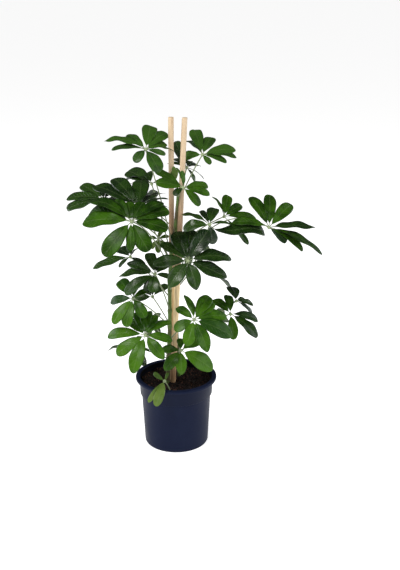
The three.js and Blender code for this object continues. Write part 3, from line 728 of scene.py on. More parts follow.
@dataclass(frozen=True)
class LeafTopFinish:
    """The waxy upper side of a leaflet, lighter high up, with a pale rib and faint side veins.

    A place across the blade runs from 0 at the rib to 1 at the edge.

    Args:
        name: the material's name.
        deep: its darkest green.
        light: its lightest green.
        rib: the colour of rib, veins, edge and specks.
        wax_and_painted_sheen: the colour of the wax on high leaves and of the painted dull sheen on the
            darkest leaflets.
        gloss: its middle roughness.
        shine: the strength of its reflections.
        side_veins: how many side veins it has on either side.
        vein_slope: how many gaps between veins a side vein climbs on its way to the edge.
        rib_line: the place across where the rib ends and where it is full.
        vein_line: the same for a side vein, in shares of the gap between two.
        vein_fade: the place across where side veins start and where they are full.
        edge_line: the place across where the pale edge starts and where it is full.
        high: the height where the light young growth starts and where it is full, in metres.
        young: how much lighter that growth is.
        patches: the cloudy lighter patches.
        patch_share: how much they lighten it.
        tint_and_light_share: how much the leaflet's tint, a random tone or its painted light and shade,
            lightens it.
        tones: the sum of these where its green is deep and where it is light.
        painted_sheen: the tint at which the painted dull sheen starts and where it is full.
        painted_sheen_shares: how much of it there is outside the patches and in them.
        specks: the small pale specks.
        sheen: the pattern that its roughness follows.
        dents: the low dents of its surface.
    """

    name: str
    deep: Colour
    light: Colour
    rib: Colour
    wax_and_painted_sheen: Colour = (0.045, 0.070, 0.058)
    gloss: float = 0.28
    shine: float = 0.20
    side_veins: float = 9.0
    vein_slope: float = 2.6
    rib_line: Span = (0.10, 0.015)
    vein_line: Span = (0.09, 0.0)
    vein_fade: Span = (1.0, 0.5)
    edge_line: Span = (0.93, 0.99)
    high: Span = (0.62, 0.70)
    young: float = 0.24
    patches: Pattern = Pattern(45.0, 4.0, (0.34, 0.66))
    patch_share: float = 0.38
    tint_and_light_share: float = 0.75
    tones: Span = (0.13, 0.95)
    painted_sheen: Span = (0.12, 0.02)
    painted_sheen_shares: Span = (0.15, 0.5)
    specks: Pattern = Pattern(420.0, 2.0, (0.62, 0.74))
    sheen: Pattern = Pattern(70.0, 2.0)
    dents: Pattern = Pattern(150.0, 2.0)

    def veins(self, tree: NodeTree) -> tuple[Socket, ...]:
        """The lines of the rib, the side veins and the edge from the blade's own map.

        Args:
            tree: the material's nodes.

        Returns:
            The three lines, 1 on the line and 0 beside it.
        """
        across, along = tree.blade()
        slant = tree.math("MULTIPLY_ADD", across, -self.vein_slope,
                          tree.math("MULTIPLY", along, self.side_veins))
        saw = tree.math("ABSOLUTE", tree.math("SUBTRACT", tree.math("FRACT", slant), 0.5))
        side = tree.math("MULTIPLY", tree.span(saw, *self.vein_line), tree.span(across, *self.vein_fade))
        return tree.span(across, *self.rib_line), side, tree.span(across, *self.edge_line)

    def green(self, tree: NodeTree) -> Socket:
        """The green under the veins, with young growth, wax, the tint's painted light and shade, and a
        painted dull sheen.

        Args:
            tree: the material's nodes.

        Returns:
            The colour.
        """
        tint = tree.tint()
        cloud = tree.shown(self.patches)
        young = tree.span(tree.height(), *self.high, to_high=self.young)
        # The tint lightens the leaflet: a random tone, or painted light and shade on the leaves in front.
        own = tree.math("MULTIPLY_ADD", tint, self.tint_and_light_share, young)
        share = tree.math("MULTIPLY_ADD", cloud, self.patch_share, own)
        colour = tree.blend(tree.span(share, *self.tones), self.deep, self.light)
        colour = tree.over(colour, self.wax_and_painted_sheen, young, most=0.5)
        # Painted sheen: a dull grey-green film on the darkest leaflets stands for their soft reflection.
        painted_sheen = tree.math("MULTIPLY", tree.span(tint, *self.painted_sheen),
                         tree.span(cloud, 0.0, 1.0, *self.painted_sheen_shares))
        return tree.blend(painted_sheen, colour, self.wax_and_painted_sheen)

    def make(self) -> bpy.types.Material:
        """Makes the material.

        Returns:
            The material.
        """
        tree = NodeTree.new(self.name)
        rib, side, edge = self.veins(tree)
        colour = tree.over(self.green(tree), self.rib, tree.shown(self.specks), most=0.10)
        for line, share in ((side, 0.07), (rib, 0.09), (edge, 0.10)):
            colour = tree.over(colour, self.rib, line, most=share)
        relief = tree.math("MULTIPLY_ADD", rib, -1.0, tree.math("MULTIPLY", side, -0.45))
        normal = tree.bump(tree.noise(self.dents), depth=0.6 * MM, strength=0.35,
                           under=tree.bump(relief, depth=0.6 * MM, strength=0.7))
        rough = tree.rough(tree.noise(self.sheen), (self.gloss - 0.05, self.gloss + 0.08))
        skin = tree.skin(colour, rough, normal, self.shine)
        return tree.out(tree.thin(skin, tree.blend(0.5, colour, self.light)))


@dataclass(frozen=True)
class LeafUnderFinish:
    """The dull, paler lower side of a leaflet, with a raised rib.

    Args:
        name: the material's name.
        deep: its darkest green.
        light: its lightest green.
        rib: the rib's colour.
        rib_line: the place across where the rib ends and where it is full.
        patches: the lighter patches.
        grain: the fine relief.
        sheen: the pattern that its roughness follows.
    """

    name: str
    deep: Colour
    light: Colour
    rib: Colour
    rib_line: Span = (0.13, 0.03)
    patches: Pattern = Pattern(60.0)
    grain: Pattern = Pattern(240.0)
    sheen: Pattern = Pattern(90.0)

    def make(self) -> bpy.types.Material:
        """Makes the material.

        Returns:
            The material.
        """
        tree = NodeTree.new(self.name)
        rib = tree.span(tree.blade()[0], *self.rib_line)
        # The tint, a random tone or painted light and shade, lightens the lower side too.
        own = tree.math("MULTIPLY", tree.tint(), 0.5)
        share = tree.math("MULTIPLY_ADD", tree.noise(self.patches), 0.6, own, clamp=True)
        colour = tree.over(tree.blend(share, self.deep, self.light), self.rib, rib, most=0.6)
        normal = tree.bump(tree.noise(self.grain), depth=0.5 * MM, strength=0.4,
                           under=tree.bump(rib, depth=0.8 * MM, strength=0.7))
        rough = tree.rough(tree.noise(self.sheen), limits=(0.5, 0.66))
        return tree.out(tree.thin(tree.skin(colour, rough, normal, shine=0.3), colour))


@dataclass(frozen=True)
class StalkFinish:
    """The pale, slightly ribbed skin of a leaf's stalk, its hub and its leaflets' small stalks.

    Args:
        name: the material's name.
        deep: its darkest colour, also that of its specks.
        light: its lightest colour.
        patches: the lighter patches.
        specks: the small dark specks.
        ribs: the fine ribs.
    """

    name: str
    deep: Colour
    light: Colour
    patches: Pattern = Pattern(120.0, 4.0)
    specks: Pattern = Pattern(900.0, 2.0, (0.6, 0.72))
    ribs: Pattern = Pattern(500.0, stretch=(1.0, 1.0, 0.2))

    def make(self) -> bpy.types.Material:
        """Makes the material.

        Returns:
            The material.
        """
        tree = NodeTree.new(self.name)
        cloud = tree.noise(self.patches)
        share = tree.math("MULTIPLY_ADD", cloud, 0.5, tree.math("MULTIPLY", tree.tint(), 0.6), clamp=True)
        colour = tree.blend(share, self.deep, self.light)
        colour = tree.over(colour, self.deep, tree.shown(self.specks), most=0.3)
        normal = tree.bump(tree.noise(self.ribs), depth=0.6 * MM, strength=0.4)
        return tree.out(tree.skin(colour, tree.rough(cloud, limits=(0.42, 0.6)), normal, shine=0.35))


@dataclass(frozen=True)
class StemFinish:
    """The green-brown skin of a stem, with upright cracks and small pale pores.

    Args:
        name: the material's name.
        green: its young skin.
        brown: its old skin and the cracks.
        pore: the pores.
        patches: the patches of old skin.
        cracks: the upright cracks.
        pores: the small pores.
    """

    name: str
    green: Colour
    brown: Colour
    pore: Colour
    patches: Pattern = Pattern(28.0, 4.0, (0.42, 0.62))
    cracks: Pattern = Pattern(330.0, 4.0, (0.55, 0.75), (1.0, 1.0, 0.09))
    pores: Pattern = Pattern(520.0, 1.0, (0.70, 0.76))

    def make(self) -> bpy.types.Material:
        """Makes the material.

        Returns:
            The material.
        """
        tree = NodeTree.new(self.name)
        colour = tree.blend(tree.shown(self.patches), self.green, self.brown)
        crack = tree.noise(self.cracks)
        colour = tree.blend(tree.span(crack, *self.cracks.shown, to_high=0.55), colour, self.brown)
        colour = tree.over(colour, self.pore, tree.shown(self.pores), most=0.5)
        rough = tree.rough(crack, limits=(0.55, 0.75))
        return tree.out(tree.skin(colour, rough, tree.bump(crack, depth=0.9 * MM, strength=0.6), shine=0.3))


@dataclass(frozen=True)
class WoodFinish:
    """Bare pale wood with upright grain: pinkish at the top, lighter and warmer lower down from painted
    light, darkened across its middle by a band of painted shade with stained patches, and darker towards
    its foot.

    Args:
        name: the material's name.
        pale: the wood at the top.
        painted_light_wood: the lighter, warmer colour of the wood lower down, painted light.
        dark: the grain.
        shade_and_stain: the dark colour of the painted shade band, the stained patches and the darker foot.
        painted_light_below: the height where the painted light on the lower wood starts and where it is
            full, in metres.
        shade_band_top: the height where the band of painted shade starts, from above, and where it is full.
        shade_band_foot: the height where that band of painted shade ends, and where it is full.
        darker_foot: the height where the wood starts to darken towards its foot, from above, and where it
            is full.
        grain: the upright grain.
        patches: the stained patches.
    """

    name: str
    pale: Colour
    painted_light_wood: Colour
    dark: Colour
    shade_and_stain: Colour
    painted_light_below: Span = (0.47, 0.40)
    shade_band_top: Span = (0.66, 0.56)
    shade_band_foot: Span = (0.42, 0.48)
    darker_foot: Span = (0.33, 0.17)
    grain: Pattern = Pattern(420.0, 5.0, (0.42, 0.72), (1.0, 1.0, 0.035))
    patches: Pattern = Pattern(26.0, 4.0, (0.36, 0.66), (1.0, 1.0, 0.45))

    def make(self) -> bpy.types.Material:
        """Makes the material.

        Returns:
            The material.
        """
        tree = NodeTree.new(self.name)
        grain = tree.noise(self.grain)
        height = tree.height()
        # Painted light: the wood lower down is lighter and warmer, as where light falls on it.
        colour = tree.blend(tree.span(height, *self.painted_light_below), self.pale, self.painted_light_wood)
        colour = tree.blend(tree.span(grain, *self.grain.shown, to_high=0.75), colour, self.dark)
        # Painted shade: a band across the stake's middle is darkened as the leaves' shade would darken it;
        # real stained patches are added to it.
        band = tree.math("MULTIPLY", tree.span(height, *self.shade_band_top), tree.span(height, *self.shade_band_foot))
        patch = tree.math("MULTIPLY", tree.shown(self.patches), 0.20)
        colour = tree.blend(tree.math("MULTIPLY_ADD", band, 0.66, patch, clamp=True), colour, self.shade_and_stain)
        # The wood darkens towards its foot.
        colour = tree.blend(tree.span(height, *self.darker_foot, to_high=0.85), colour, self.shade_and_stain)
        rough = tree.rough(grain, limits=(0.5, 0.7))
        return tree.out(tree.skin(colour, rough, tree.bump(grain, depth=0.5 * MM, strength=0.5), shine=0.3))


@dataclass(frozen=True)
class PotFinish:
    """Dark blue-black moulded plastic with a satin shine, fine grain, a little dust and painted shade on
    its collar under the lip.

    Args:
        name: the material's name.
        body: the plastic.
        dust: the dust.
        earth: the smear of soil on its inside.
        shade: the colour of the painted shade on its collar under the lip.
        inside: the radius where the smear starts, from outside, and where it is full, in metres.
        smear_above: the height where the smear starts and where it is full.
        collar_foot: the height where the painted shade on the collar starts and where it is full.
        collar_top: the height where that painted shade ends, and where it is full.
        clouds: the thin dust.
        specks: the specks of dust.
        streaks: the upright streaks of the mould.
        grain: the fine grain.
    """

    name: str
    body: Colour
    dust: Colour
    earth: Colour = (0.0030, 0.0026, 0.0030)
    shade: Colour = (0.0026, 0.0044, 0.0140)
    inside: Span = (0.0865, 0.0859)
    smear_above: Span = (0.128, 0.130)
    collar_foot: Span = (0.126, 0.129)
    collar_top: Span = (0.163, 0.157)
    clouds: Pattern = Pattern(14.0, 5.0, (0.35, 0.75))
    specks: Pattern = Pattern(700.0, 2.0, (0.66, 0.74))
    streaks: Pattern = Pattern(60.0, stretch=(1.0, 1.0, 0.08))
    grain: Pattern = Pattern(1500.0, 2.0)

    def make(self) -> bpy.types.Material:
        """Makes the material.

        Returns:
            The material.
        """
        tree = NodeTree.new(self.name)
        cloud = tree.noise(self.clouds)
        colour = tree.blend(tree.span(cloud, *self.clouds.shown, to_high=0.35), self.body, self.dust)
        colour = tree.over(colour, self.dust, tree.shown(self.specks), most=0.35)
        x, y, height = tree.node("SeparateXYZ", Vector=tree.place()).outputs
        out = tree.math("SQRT", tree.math("MULTIPLY_ADD", x, x, tree.math("MULTIPLY", y, y)))
        smear = tree.math("MULTIPLY", tree.span(out, *self.inside), tree.span(height, *self.smear_above))
        colour = tree.blend(smear, colour, self.earth)
        # Painted shade: the collar under the lip is darkened towards a deeper blue.
        collar = tree.math("MULTIPLY", tree.span(height, *self.collar_foot, to_high=0.4),
                           tree.span(height, *self.collar_top))
        colour = tree.blend(collar, colour, self.shade)
        grain = tree.bump(tree.noise(self.grain), depth=0.1 * MM, strength=0.35)
        normal = tree.bump(tree.noise(self.streaks), depth=0.5 * MM, strength=0.12, under=grain)
        return tree.out(tree.skin(colour, tree.rough(cloud, limits=(0.36, 0.5)), normal, shine=0.05))


@dataclass(frozen=True)
class SoilFinish:
    """Moist crumbly potting soil, brown-black with reddish fibres.

    Args:
        name: the material's name.
        dark: its hollows.
        brown: its crumbs.
        fibre: its fibres and its few pale crumbs.
        crumbs: the crumbs.
        fibres: the fibres.
    """

    name: str
    dark: Colour
    brown: Colour
    fibre: Colour
    crumbs: Pattern = Pattern(160.0, 6.0, (0.4, 0.68), rough=0.65)
    fibres: Pattern = Pattern(300.0, 3.0, (0.6, 0.7))

    def make(self) -> bpy.types.Material:
        """Makes the material.

        Returns:
            The material.
        """
        tree = NodeTree.new(self.name)
        crumb = tree.noise(self.crumbs)
        colour = tree.blend(tree.span(crumb, *self.crumbs.shown), self.dark, self.brown)
        bit = tree.math("MULTIPLY", tree.shown(self.fibres), 0.6)
        share = tree.math("ADD", bit, tree.math("MULTIPLY", tree.tint(), 0.7), clamp=True)
        colour = tree.blend(share, colour, self.fibre)
        rough = tree.rough(crumb, limits=(0.7, 0.95), part=(0.3, 0.8))
        return tree.out(tree.skin(colour, rough, tree.bump(crumb, depth=3.0 * MM, strength=0.9), shine=0.2))


@dataclass(frozen=True)
class FloorFinish:
    """A plain pale floor with a hardly seen mottle.

    Args:
        name: the material's name.
        pale: its colour.
        mottle: the mottle.
        darker: the mottle's brightness as a share of the rest's.
        glow: how much light it gives off, so that it looks white.
    """

    name: str
    pale: Colour
    mottle: Pattern = Pattern(3.0)
    darker: float = 0.985
    glow: float = 0.5

    def make(self) -> bpy.types.Material:
        """Makes the material.

        Returns:
            The material.
        """
        tree = NodeTree.new(self.name)
        colour = tree.blend(tree.noise(self.mottle), self.pale, tuple(self.darker * c for c in self.pale))
        skin = tree.node("BsdfPrincipled", Base_Color=colour, Roughness=0.9, Specular_IOR_Level=0.1,
                         Emission_Color=(1.0, 1.0, 1.0, 1.0), Emission_Strength=self.glow)
        return tree.out(skin.outputs[0])


@dataclass
class Pot:
    """The round nursery pot: lip, straight collar, small step, tapering wall and flat drained base.

    Sizes are in millimetres.

    Args:
        height: the whole pot's height.
        rim_radius: the lip's outer radius.
        rim_height: how far down the lip reaches.
        collar_top: the collar's outer radius under the lip.
        collar_foot: its outer radius at the step.
        collar_foot_z: the step's height.
        wall_top: the wall's outer radius under the step.
        base_radius: the outer radius that the wall would have on the floor.
        base_round: the rounding of the base's edge.
        wall: the wall's thickness.
        floor: the base's thickness.
        drains: how many holes the base has; the sides divide evenly by twice as many.
        drain_radius: a hole's radius.
        drain_circle: how far the holes' middles lie from the axis.
        band: half the breadth of the ring that holds the holes.
        sides: the corners of a ring.
        seam: how far apart points may lie that are joined, in metres.
    """

    height: float = 170.0
    rim_radius: float = 97.0
    rim_height: float = 7.0
    collar_top: float = 88.0
    collar_foot: float = 86.5
    collar_foot_z: float = 127.0
    wall_top: float = 83.0
    base_radius: float = 76.5
    base_round: float = 3.0
    wall: float = 2.0
    floor: float = 3.0
    drains: int = 8
    drain_radius: float = 5.0
    drain_circle: float = 52.0
    band: float = 8.0
    sides: int = 128
    seam: float = 0.00005

    def wall_radius(self, z: float) -> float:
        """The outer radius of the tapering wall at a height."""
        return self.base_radius + (self.wall_top - self.base_radius) * z / self.collar_foot_z

    def profile(self) -> np.ndarray:
        """The half section's points, from the base's edge of drains up the outside and down inside.

        Returns:
            Radius and height, n by 2, in millimetres.
        """
        high = self.drain_circle + self.band
        top, rim, lip = self.height, self.rim_radius, self.height - self.rim_height
        inner = self.wall_top - self.wall
        marks = [
            (high, 0.0), (self.base_radius - self.base_round - 0.8, 0.0),
            (self.base_radius - 1.2, 0.5), (self.wall_radius(3.0), 3.0),
            (self.wall_radius(3.6), 3.6), (self.wall_radius(60.0), 60.0),
            (self.wall_top, self.collar_foot_z - 0.6), (self.wall_top + 0.2, self.collar_foot_z),
            (self.collar_foot - 0.5, self.collar_foot_z), (self.collar_foot, self.collar_foot_z + 0.6),
            (self.collar_top - 0.1, lip - 1.4), (self.collar_top + 0.8, lip - 0.3), (rim - 1.4, lip),
            (rim - 0.4, lip + 0.5), (rim, lip + 1.6), (rim, top - 2.0), (rim - 0.5, top - 0.7),
            (rim - 1.6, top), (self.collar_top - self.wall + 1.0, top),
            (self.collar_top - self.wall + 0.2, top - 0.6), (self.collar_top - self.wall, top - 2.0),
            (self.collar_foot - self.wall, self.collar_foot_z + 2.0), (inner, self.collar_foot_z - 2.0),
            (self.wall_radius(self.floor) - self.wall, self.floor + 1.0),
            (self.wall_radius(self.floor) - self.wall - 1.0, self.floor), (high, self.floor),
        ]
        return np.array(marks)

    def turned(self, section: np.ndarray) -> tuple[np.ndarray, np.ndarray]:
        """Turns an open section about the upright axis.

        Args:
            section: radius and height, n by 2.

        Returns:
            Points n * sides by 3, and quads between neighbouring rings.
        """
        points = section[:, None, :1] * circle(self.sides) + section[:, None, 1:] * UP
        row = np.arange(len(section) - 1)[:, None] * self.sides
        side = np.arange(self.sides)[None]
        after = (side + 1) % self.sides
        quads = np.stack([row + side, row + after, row + self.sides + after,
                          row + self.sides + side], axis=-1)
        return points.reshape(-1, 3), quads.reshape(-1, 4)

    def drained_band(self) -> tuple[np.ndarray, np.ndarray]:
        """The ring of the base that holds the drain holes, top, bottom and hole walls.

        In each of the equal sectors the face runs from the round hole out to the sector's four
        sides: a point is the hole's edge moved a share of the way towards the sector's edge.

        Returns:
            Points and quads.
        """
        per = self.sides // self.drains // 2
        step = np.arange(2 * per) / per - 1
        one = np.ones_like(step)
        edge = np.concatenate([np.stack([step, -one], -1), np.stack([one, step], -1),
                               np.stack([-step, one], -1), np.stack([-one, -step], -1)])
        half_turn = math.pi / self.drains
        radius = self.drain_circle + self.band * edge[:, 1]
        outer = np.stack([radius * np.cos(half_turn * edge[:, 0]),
                          radius * np.sin(half_turn * edge[:, 0])], -1)
        spoke = outer - np.array([self.drain_circle, 0.0])
        inner = np.array([self.drain_circle, 0.0]) + self.drain_radius * unit(spoke)
        share = np.array([0.0, 0.06, 0.4, 0.7, 1.0])[:, None, None]
        flat = inner * (1 - share) + outer * share
        count = len(edge)
        level = np.ones((len(share), count, 1))
        under = np.concatenate([flat[::-1], 0.0 * level], -1)
        sector = np.concatenate([under, np.concatenate([flat, self.floor * level], -1)]).reshape(-1, 3)
        row = np.arange(2 * len(share) - 1)[:, None] * count
        side = np.arange(count)[None]
        after = (side + 1) % count
        quads = np.stack([row + after, row + side, row + count + side, row + count + after], -1)
        quads = quads.reshape(-1, 4)
        turn = (np.arange(self.drains) + 0.5) * 2 * half_turn
        cos, sin = np.cos(turn)[:, None], np.sin(turn)[:, None]
        points = np.stack([cos * sector[None, :, 0] - sin * sector[None, :, 1],
                           sin * sector[None, :, 0] + cos * sector[None, :, 1],
                           np.broadcast_to(sector[None, :, 2], (self.drains, len(sector)))], -1)
        shift = np.arange(self.drains)[:, None, None] * len(sector)
        return points.reshape(-1, 3), (quads[None] + shift).reshape(-1, 4)

    def hub_plate(self) -> tuple[np.ndarray, np.ndarray]:
        """The middle of the base inside the ring of holes: its lower and its upper side.

        Returns:
            Points and quads.
        """
        low = self.drain_circle - self.band
        section = np.array([(0.02, 0.0), (low * 0.5, 0.0), (low, 0.0)])
        under, quads = self.turned(section)
        upper, _ = self.turned(section[::-1] + np.array([0.0, self.floor]))
        quads = quads[:, ::-1]
        return np.concatenate([under, upper]), np.concatenate([quads, quads + len(under)])

    def build(self, finish: PotFinish) -> bpy.types.Object:
        """Builds the pot and dresses it.

        Args:
            finish: the plastic.

        Returns:
            The pot.
        """
        surface = Surface("nursery_pot")
        for points, quads in (self.turned(self.profile()), self.drained_band(), self.hub_plate()):
            flat = np.zeros(len(points))
            surface.add(points * MM, quads, np.stack([flat, flat], -1), flat, np.zeros(len(quads)))
        made = surface.make([finish.make()], "pot", "pot")
        weld = made.modifiers.new("seams", "WELD")
        weld.merge_threshold = self.seam
        return made


@dataclass
class Soil:
    """The pot's soil: a lumpy top with loose crumbs, over a plain filling.

    Sizes are in millimetres.

    Args:
        swell: the height of its low swells.
        radius: its radius at the top.
        lower: radius and height of its rings below, from the foot up.
        rings: the rings of its top.
        sides: the corners of a ring.
        crumbs: how many loose crumbs it has.
        big_lumps: the height and the breadth of the larger lumps.
        small_lumps: the same of the smaller ones.
        sunk: how far the lumpy top lies lower than the swells.
        fade: how far from the wall the lumps start to fade.
        crumb_sizes: the least and the greatest radius of a crumb.
        crumb_squash: how much it is squashed or drawn out along each axis.
        crumb_lumps: how far its points lie in or out, as a share of its radius.
        crumb_rows: its rings.
        crumb_sides: the corners of such a ring.
        crumb_gap: how far crumbs keep from the wall.
        pale_crumbs: the share of crumbs that are pale.
        seed: picks their places and shapes.
    """

    swell: float = 2.5
    radius: float = 85.2
    lower: tuple[Span, ...] = ((74.2, 3.3), (80.6, 125.0), (84.0, 128.0))
    rings: int = 70
    sides: int = 200
    crumbs: int = 900
    big_lumps: Span = (1.5, 22.0)
    small_lumps: Span = (1.2, 8.0)
    sunk: float = 0.4
    fade: float = 4.0
    crumb_sizes: Span = (0.7, 2.6)
    crumb_squash: Span = (0.6, 1.5)
    crumb_lumps: float = 0.22
    crumb_rows: int = 5
    crumb_sides: int = 7
    crumb_gap: float = 3.0
    pale_crumbs: float = 0.2
    seed: int = 11

    def height(self, x: np.ndarray, y: np.ndarray) -> np.ndarray:
        """The height of the soil's low swells, as in the frame, at places in millimetres."""
        return SOIL_LEVEL + self.swell * (np.sin(x / 13) * np.cos(y / 17) + 0.5 * np.sin((x + 2 * y) / 11))

    def lumps(self, x: np.ndarray, y: np.ndarray) -> np.ndarray:
        """The height of the lumps on the swells at places: two soft patterns, one folded up.

        Args:
            x: how far to the right the places lie, in millimetres.
            y: how far to the back.

        Returns:
            A height for each place, in millimetres.
        """
        flat = np.stack([x, y, 0 * x], axis=-1)
        big = self.big_lumps[0] * soft_noise(flat, self.big_lumps[1], 3)
        small = self.small_lumps[0] * np.abs(soft_noise(flat, self.small_lumps[1], 4))
        return big + small - self.sunk

    def bed(self, surface: Surface) -> None:
        """Adds the closed filling, from its foot up the wall and over the lumpy top to its middle.

        The lumps fade out towards the wall.

        Args:
            surface: what it is added to.
        """
        ring = circle(self.sides)
        radius = self.radius * (np.arange(self.rings, 0, -1) / self.rings)[:, None] ** 0.8
        x, y = radius * ring[:, 0], radius * ring[:, 1]
        z = self.height(x, y) + self.lumps(x, y) * np.minimum(1.0, (self.radius - radius) / self.fade)
        lower = np.array(self.lower)[:, None]
        below = lower[..., :1] * ring + lower[..., 1:] * UP
        rings = np.concatenate([below, np.stack([x, y, z], -1)])[None]
        surface.plain_tubes(rings * MM, np.zeros(rings.shape[:2]), 0)

    def scatter(self, surface: Surface) -> None:
        """Adds loose crumbs: small lumpy balls, nearly half sunk into the top, at seeded places.

        Args:
            surface: what they are added to.
        """
        rng = np.random.default_rng(self.seed)
        turn = rng.uniform(0, 2 * math.pi, self.crumbs)
        out = np.sqrt(rng.uniform(0, 1, self.crumbs)) * (self.radius - self.crumb_gap)
        x, y = out * np.cos(turn), out * np.sin(turn)
        size = rng.uniform(*self.crumb_sizes, self.crumbs) * rng.uniform(0.6, 1.0, self.crumbs)
        z = self.height(x, y) + self.lumps(x, y) + size * 0.2
        squash = rng.uniform(*self.crumb_squash, (self.crumbs, 1, 1, 3))
        spots = (self.crumbs, self.crumb_rows, self.crumb_sides, 1)
        bumpy = 1 + rng.uniform(-self.crumb_lumps, self.crumb_lumps, spots)
        centre = np.stack([x, y, z], -1)[:, None, None]
        shape = ball(self.crumb_rows, self.crumb_sides, margin=0.25)
        rings = centre + shape * squash * bumpy * size[:, None, None, None]
        pale = rng.uniform(0, 1, (self.crumbs, 1)) > 1 - self.pale_crumbs
        surface.plain_tubes(rings * MM, np.repeat(pale * 1.0, self.crumb_rows, axis=1), 0)

    def build(self, finish: SoilFinish) -> bpy.types.Object:
        """Builds the soil and dresses it.

        Args:
            finish: the soil's look.

        Returns:
            The soil.
        """
        surface = Surface("potting_soil")
        self.bed(surface)
        self.scatter(surface)
        return surface.make([finish.make()], "soil", "soil")


@dataclass
class Stake:
    """One round wooden stake, from deep in the soil to its flat cut top.

    Sizes are in millimetres.

    Args:
        node: the node that it replaces.
        foot: where its line meets the soil's level.
        head: where its line ends at the top.
        seed: picks its unevenness.
        radius: its radius.
        top: its top's height.
        buried: how deep it reaches below the soil's level.
        rings: the rings below its rounded edge.
        sides: the corners of a ring.
        edge: how far below the top that edge starts.
        below: how far below the top each ring of it lies.
        inward: how far inward it lies.
        uneven: how far its radius differs from place to place.
        dents: the breadth of that unevenness.
        upright: how it is drawn out upwards.
    """

    node: str
    foot: Span
    head: Span
    seed: int
    radius: float = 6.35
    top: float = 788.0
    buried: float = 136.0
    rings: int = 150
    sides: int = 36
    edge: float = 1.2
    below: Vector3 = (0.5, 0.1, 0.0)
    inward: Vector3 = (0.05, 0.3, 0.7)
    uneven: float = 0.2
    dents: float = 9.0
    upright: Vector3 = (1.0, 1.0, 0.15)

    def build(self, wood: bpy.types.Material) -> bpy.types.Object:
        """Builds the stake and dresses it.

        A ring at each height is a circle about the line from foot to head, its radius changed
        by a soft pattern; the last rings round off the cut edge.

        Args:
            wood: its material.

        Returns:
            The stake.
        """
        high = self.top - SOIL_LEVEL
        share = np.linspace(-self.buried / high, 1 - self.edge / high, self.rings)
        share = np.concatenate([share, 1 - np.array(self.below) / high])[:, None]
        line = np.array(self.foot) * (1 - share) + np.array(self.head) * share
        centre = np.concatenate([line, SOIL_LEVEL + share * high], -1)[:, None]
        radius = np.full((len(share), 1, 1), self.radius)
        radius[-len(self.inward):, 0, 0] -= np.array(self.inward)
        ring = circle(self.sides)
        places = (centre + self.radius * ring) * np.array(self.upright)
        bumps = self.uneven * soft_noise(places, self.dents, self.seed)
        rings = (centre + (radius - self.uneven / 2 + bumps[..., None]) * ring)[None]
        surface = Surface(self.node.replace("stake", "wooden_stake"))
        surface.plain_tubes(rings * MM, np.zeros(rings.shape[:2]), 0)
        return surface.make([wood], self.node, "stake")


@dataclass
class Stem:
    """A plant stem: a tapering column along smooth cubic pieces, swollen where leaves grow.

    Sizes are in millimetres.

    Args:
        node: the node that it replaces.
        foot: its radius at the foot.
        tip: its radius at the tip.
        line: points of its centre line, from the foot up.
        joints: the heights where leaves grow.
        rings: how many rings it has.
        sides: the corners of a ring.
        swelling: how much it swells at a leaf, as a share of its radius.
        swell_reach: how far that swelling reaches up and down.
        uneven: how far its radius differs from place to place, as a share.
        lumps: the breadth of that unevenness.
        tip_share: the share of its height over which the tip closes.
    """

    node: str
    foot: float
    tip: float
    line: tuple[Vector3, ...]
    joints: list[float] = field(default_factory=list)
    rings: int = 260
    sides: int = 18
    swelling: float = 0.24
    swell_reach: float = 5.0
    uneven: float = 0.06
    lumps: float = 14.0
    tip_share: float = 0.02

    def at(self, z: np.ndarray) -> np.ndarray:
        """The centre line at heights.

        Each piece between two listed points is the cubic whose slope at a point is that of the
        line through its two neighbours.

        Args:
            z: heights in millimetres.

        Returns:
            Places, with three numbers on the last axis.
        """
        line = np.array(self.line)
        last = len(line) - 1
        before = line[np.maximum(np.arange(last + 1) - 1, 0)]
        after = line[np.minimum(np.arange(last + 1) + 1, last)]
        slope = (after - before)[:, :2] / (after - before)[:, 2:]
        k = np.clip(np.searchsorted(line[:, 2], z, side="left") - 1, 0, last - 1)
        span = line[k + 1, 2] - line[k, 2]
        s = ((z - line[k, 2]) / span)[..., None]
        gap = span[..., None]
        flat = ((1 + 2 * s) * (1 - s) ** 2 * line[k, :2] + s * (1 - s) ** 2 * gap * slope[k]
                + s ** 2 * (3 - 2 * s) * line[k + 1, :2] - s ** 2 * (1 - s) * gap * slope[k + 1])
        return np.concatenate([flat, np.asarray(z)[..., None]], axis=-1)

    def build(self, skin: bpy.types.Material) -> bpy.types.Object:
        """Builds the stem and dresses it.

        The radius falls evenly from foot to tip, swells near each place where a leaf grows by
        the bell curve exp(-d squared), d in swell reaches, and closes in a round tip.

        Args:
            skin: its material.

        Returns:
            The stem.
        """
        z = np.linspace(self.line[0][2], self.line[-1][2], self.rings)
        share = (z - z[0]) / (z[-1] - z[0])
        radius = self.foot + (self.tip - self.foot) * share
        near = (np.array(self.joints)[:, None] - z) / self.swell_reach
        radius = radius * (1 + self.swelling * np.exp(-near ** 2).sum(axis=0))
        radius = radius * np.sqrt(np.clip((1.004 - share) / self.tip_share, 0.12, 1.0))
        ring = circle(self.sides)
        centre = self.at(z)[:, None]
        bumps = 1 + self.uneven * soft_noise(centre + 5.0 * ring, self.lumps, 8)
        rings = (centre + (radius[:, None] * bumps)[..., None] * ring)[None]
        surface = Surface(self.node.replace("stem", "plant_stem"))
        surface.plain_tubes(rings * MM, np.zeros(rings.shape[:2]), 0)
        return surface.make([skin], self.node, "stem")


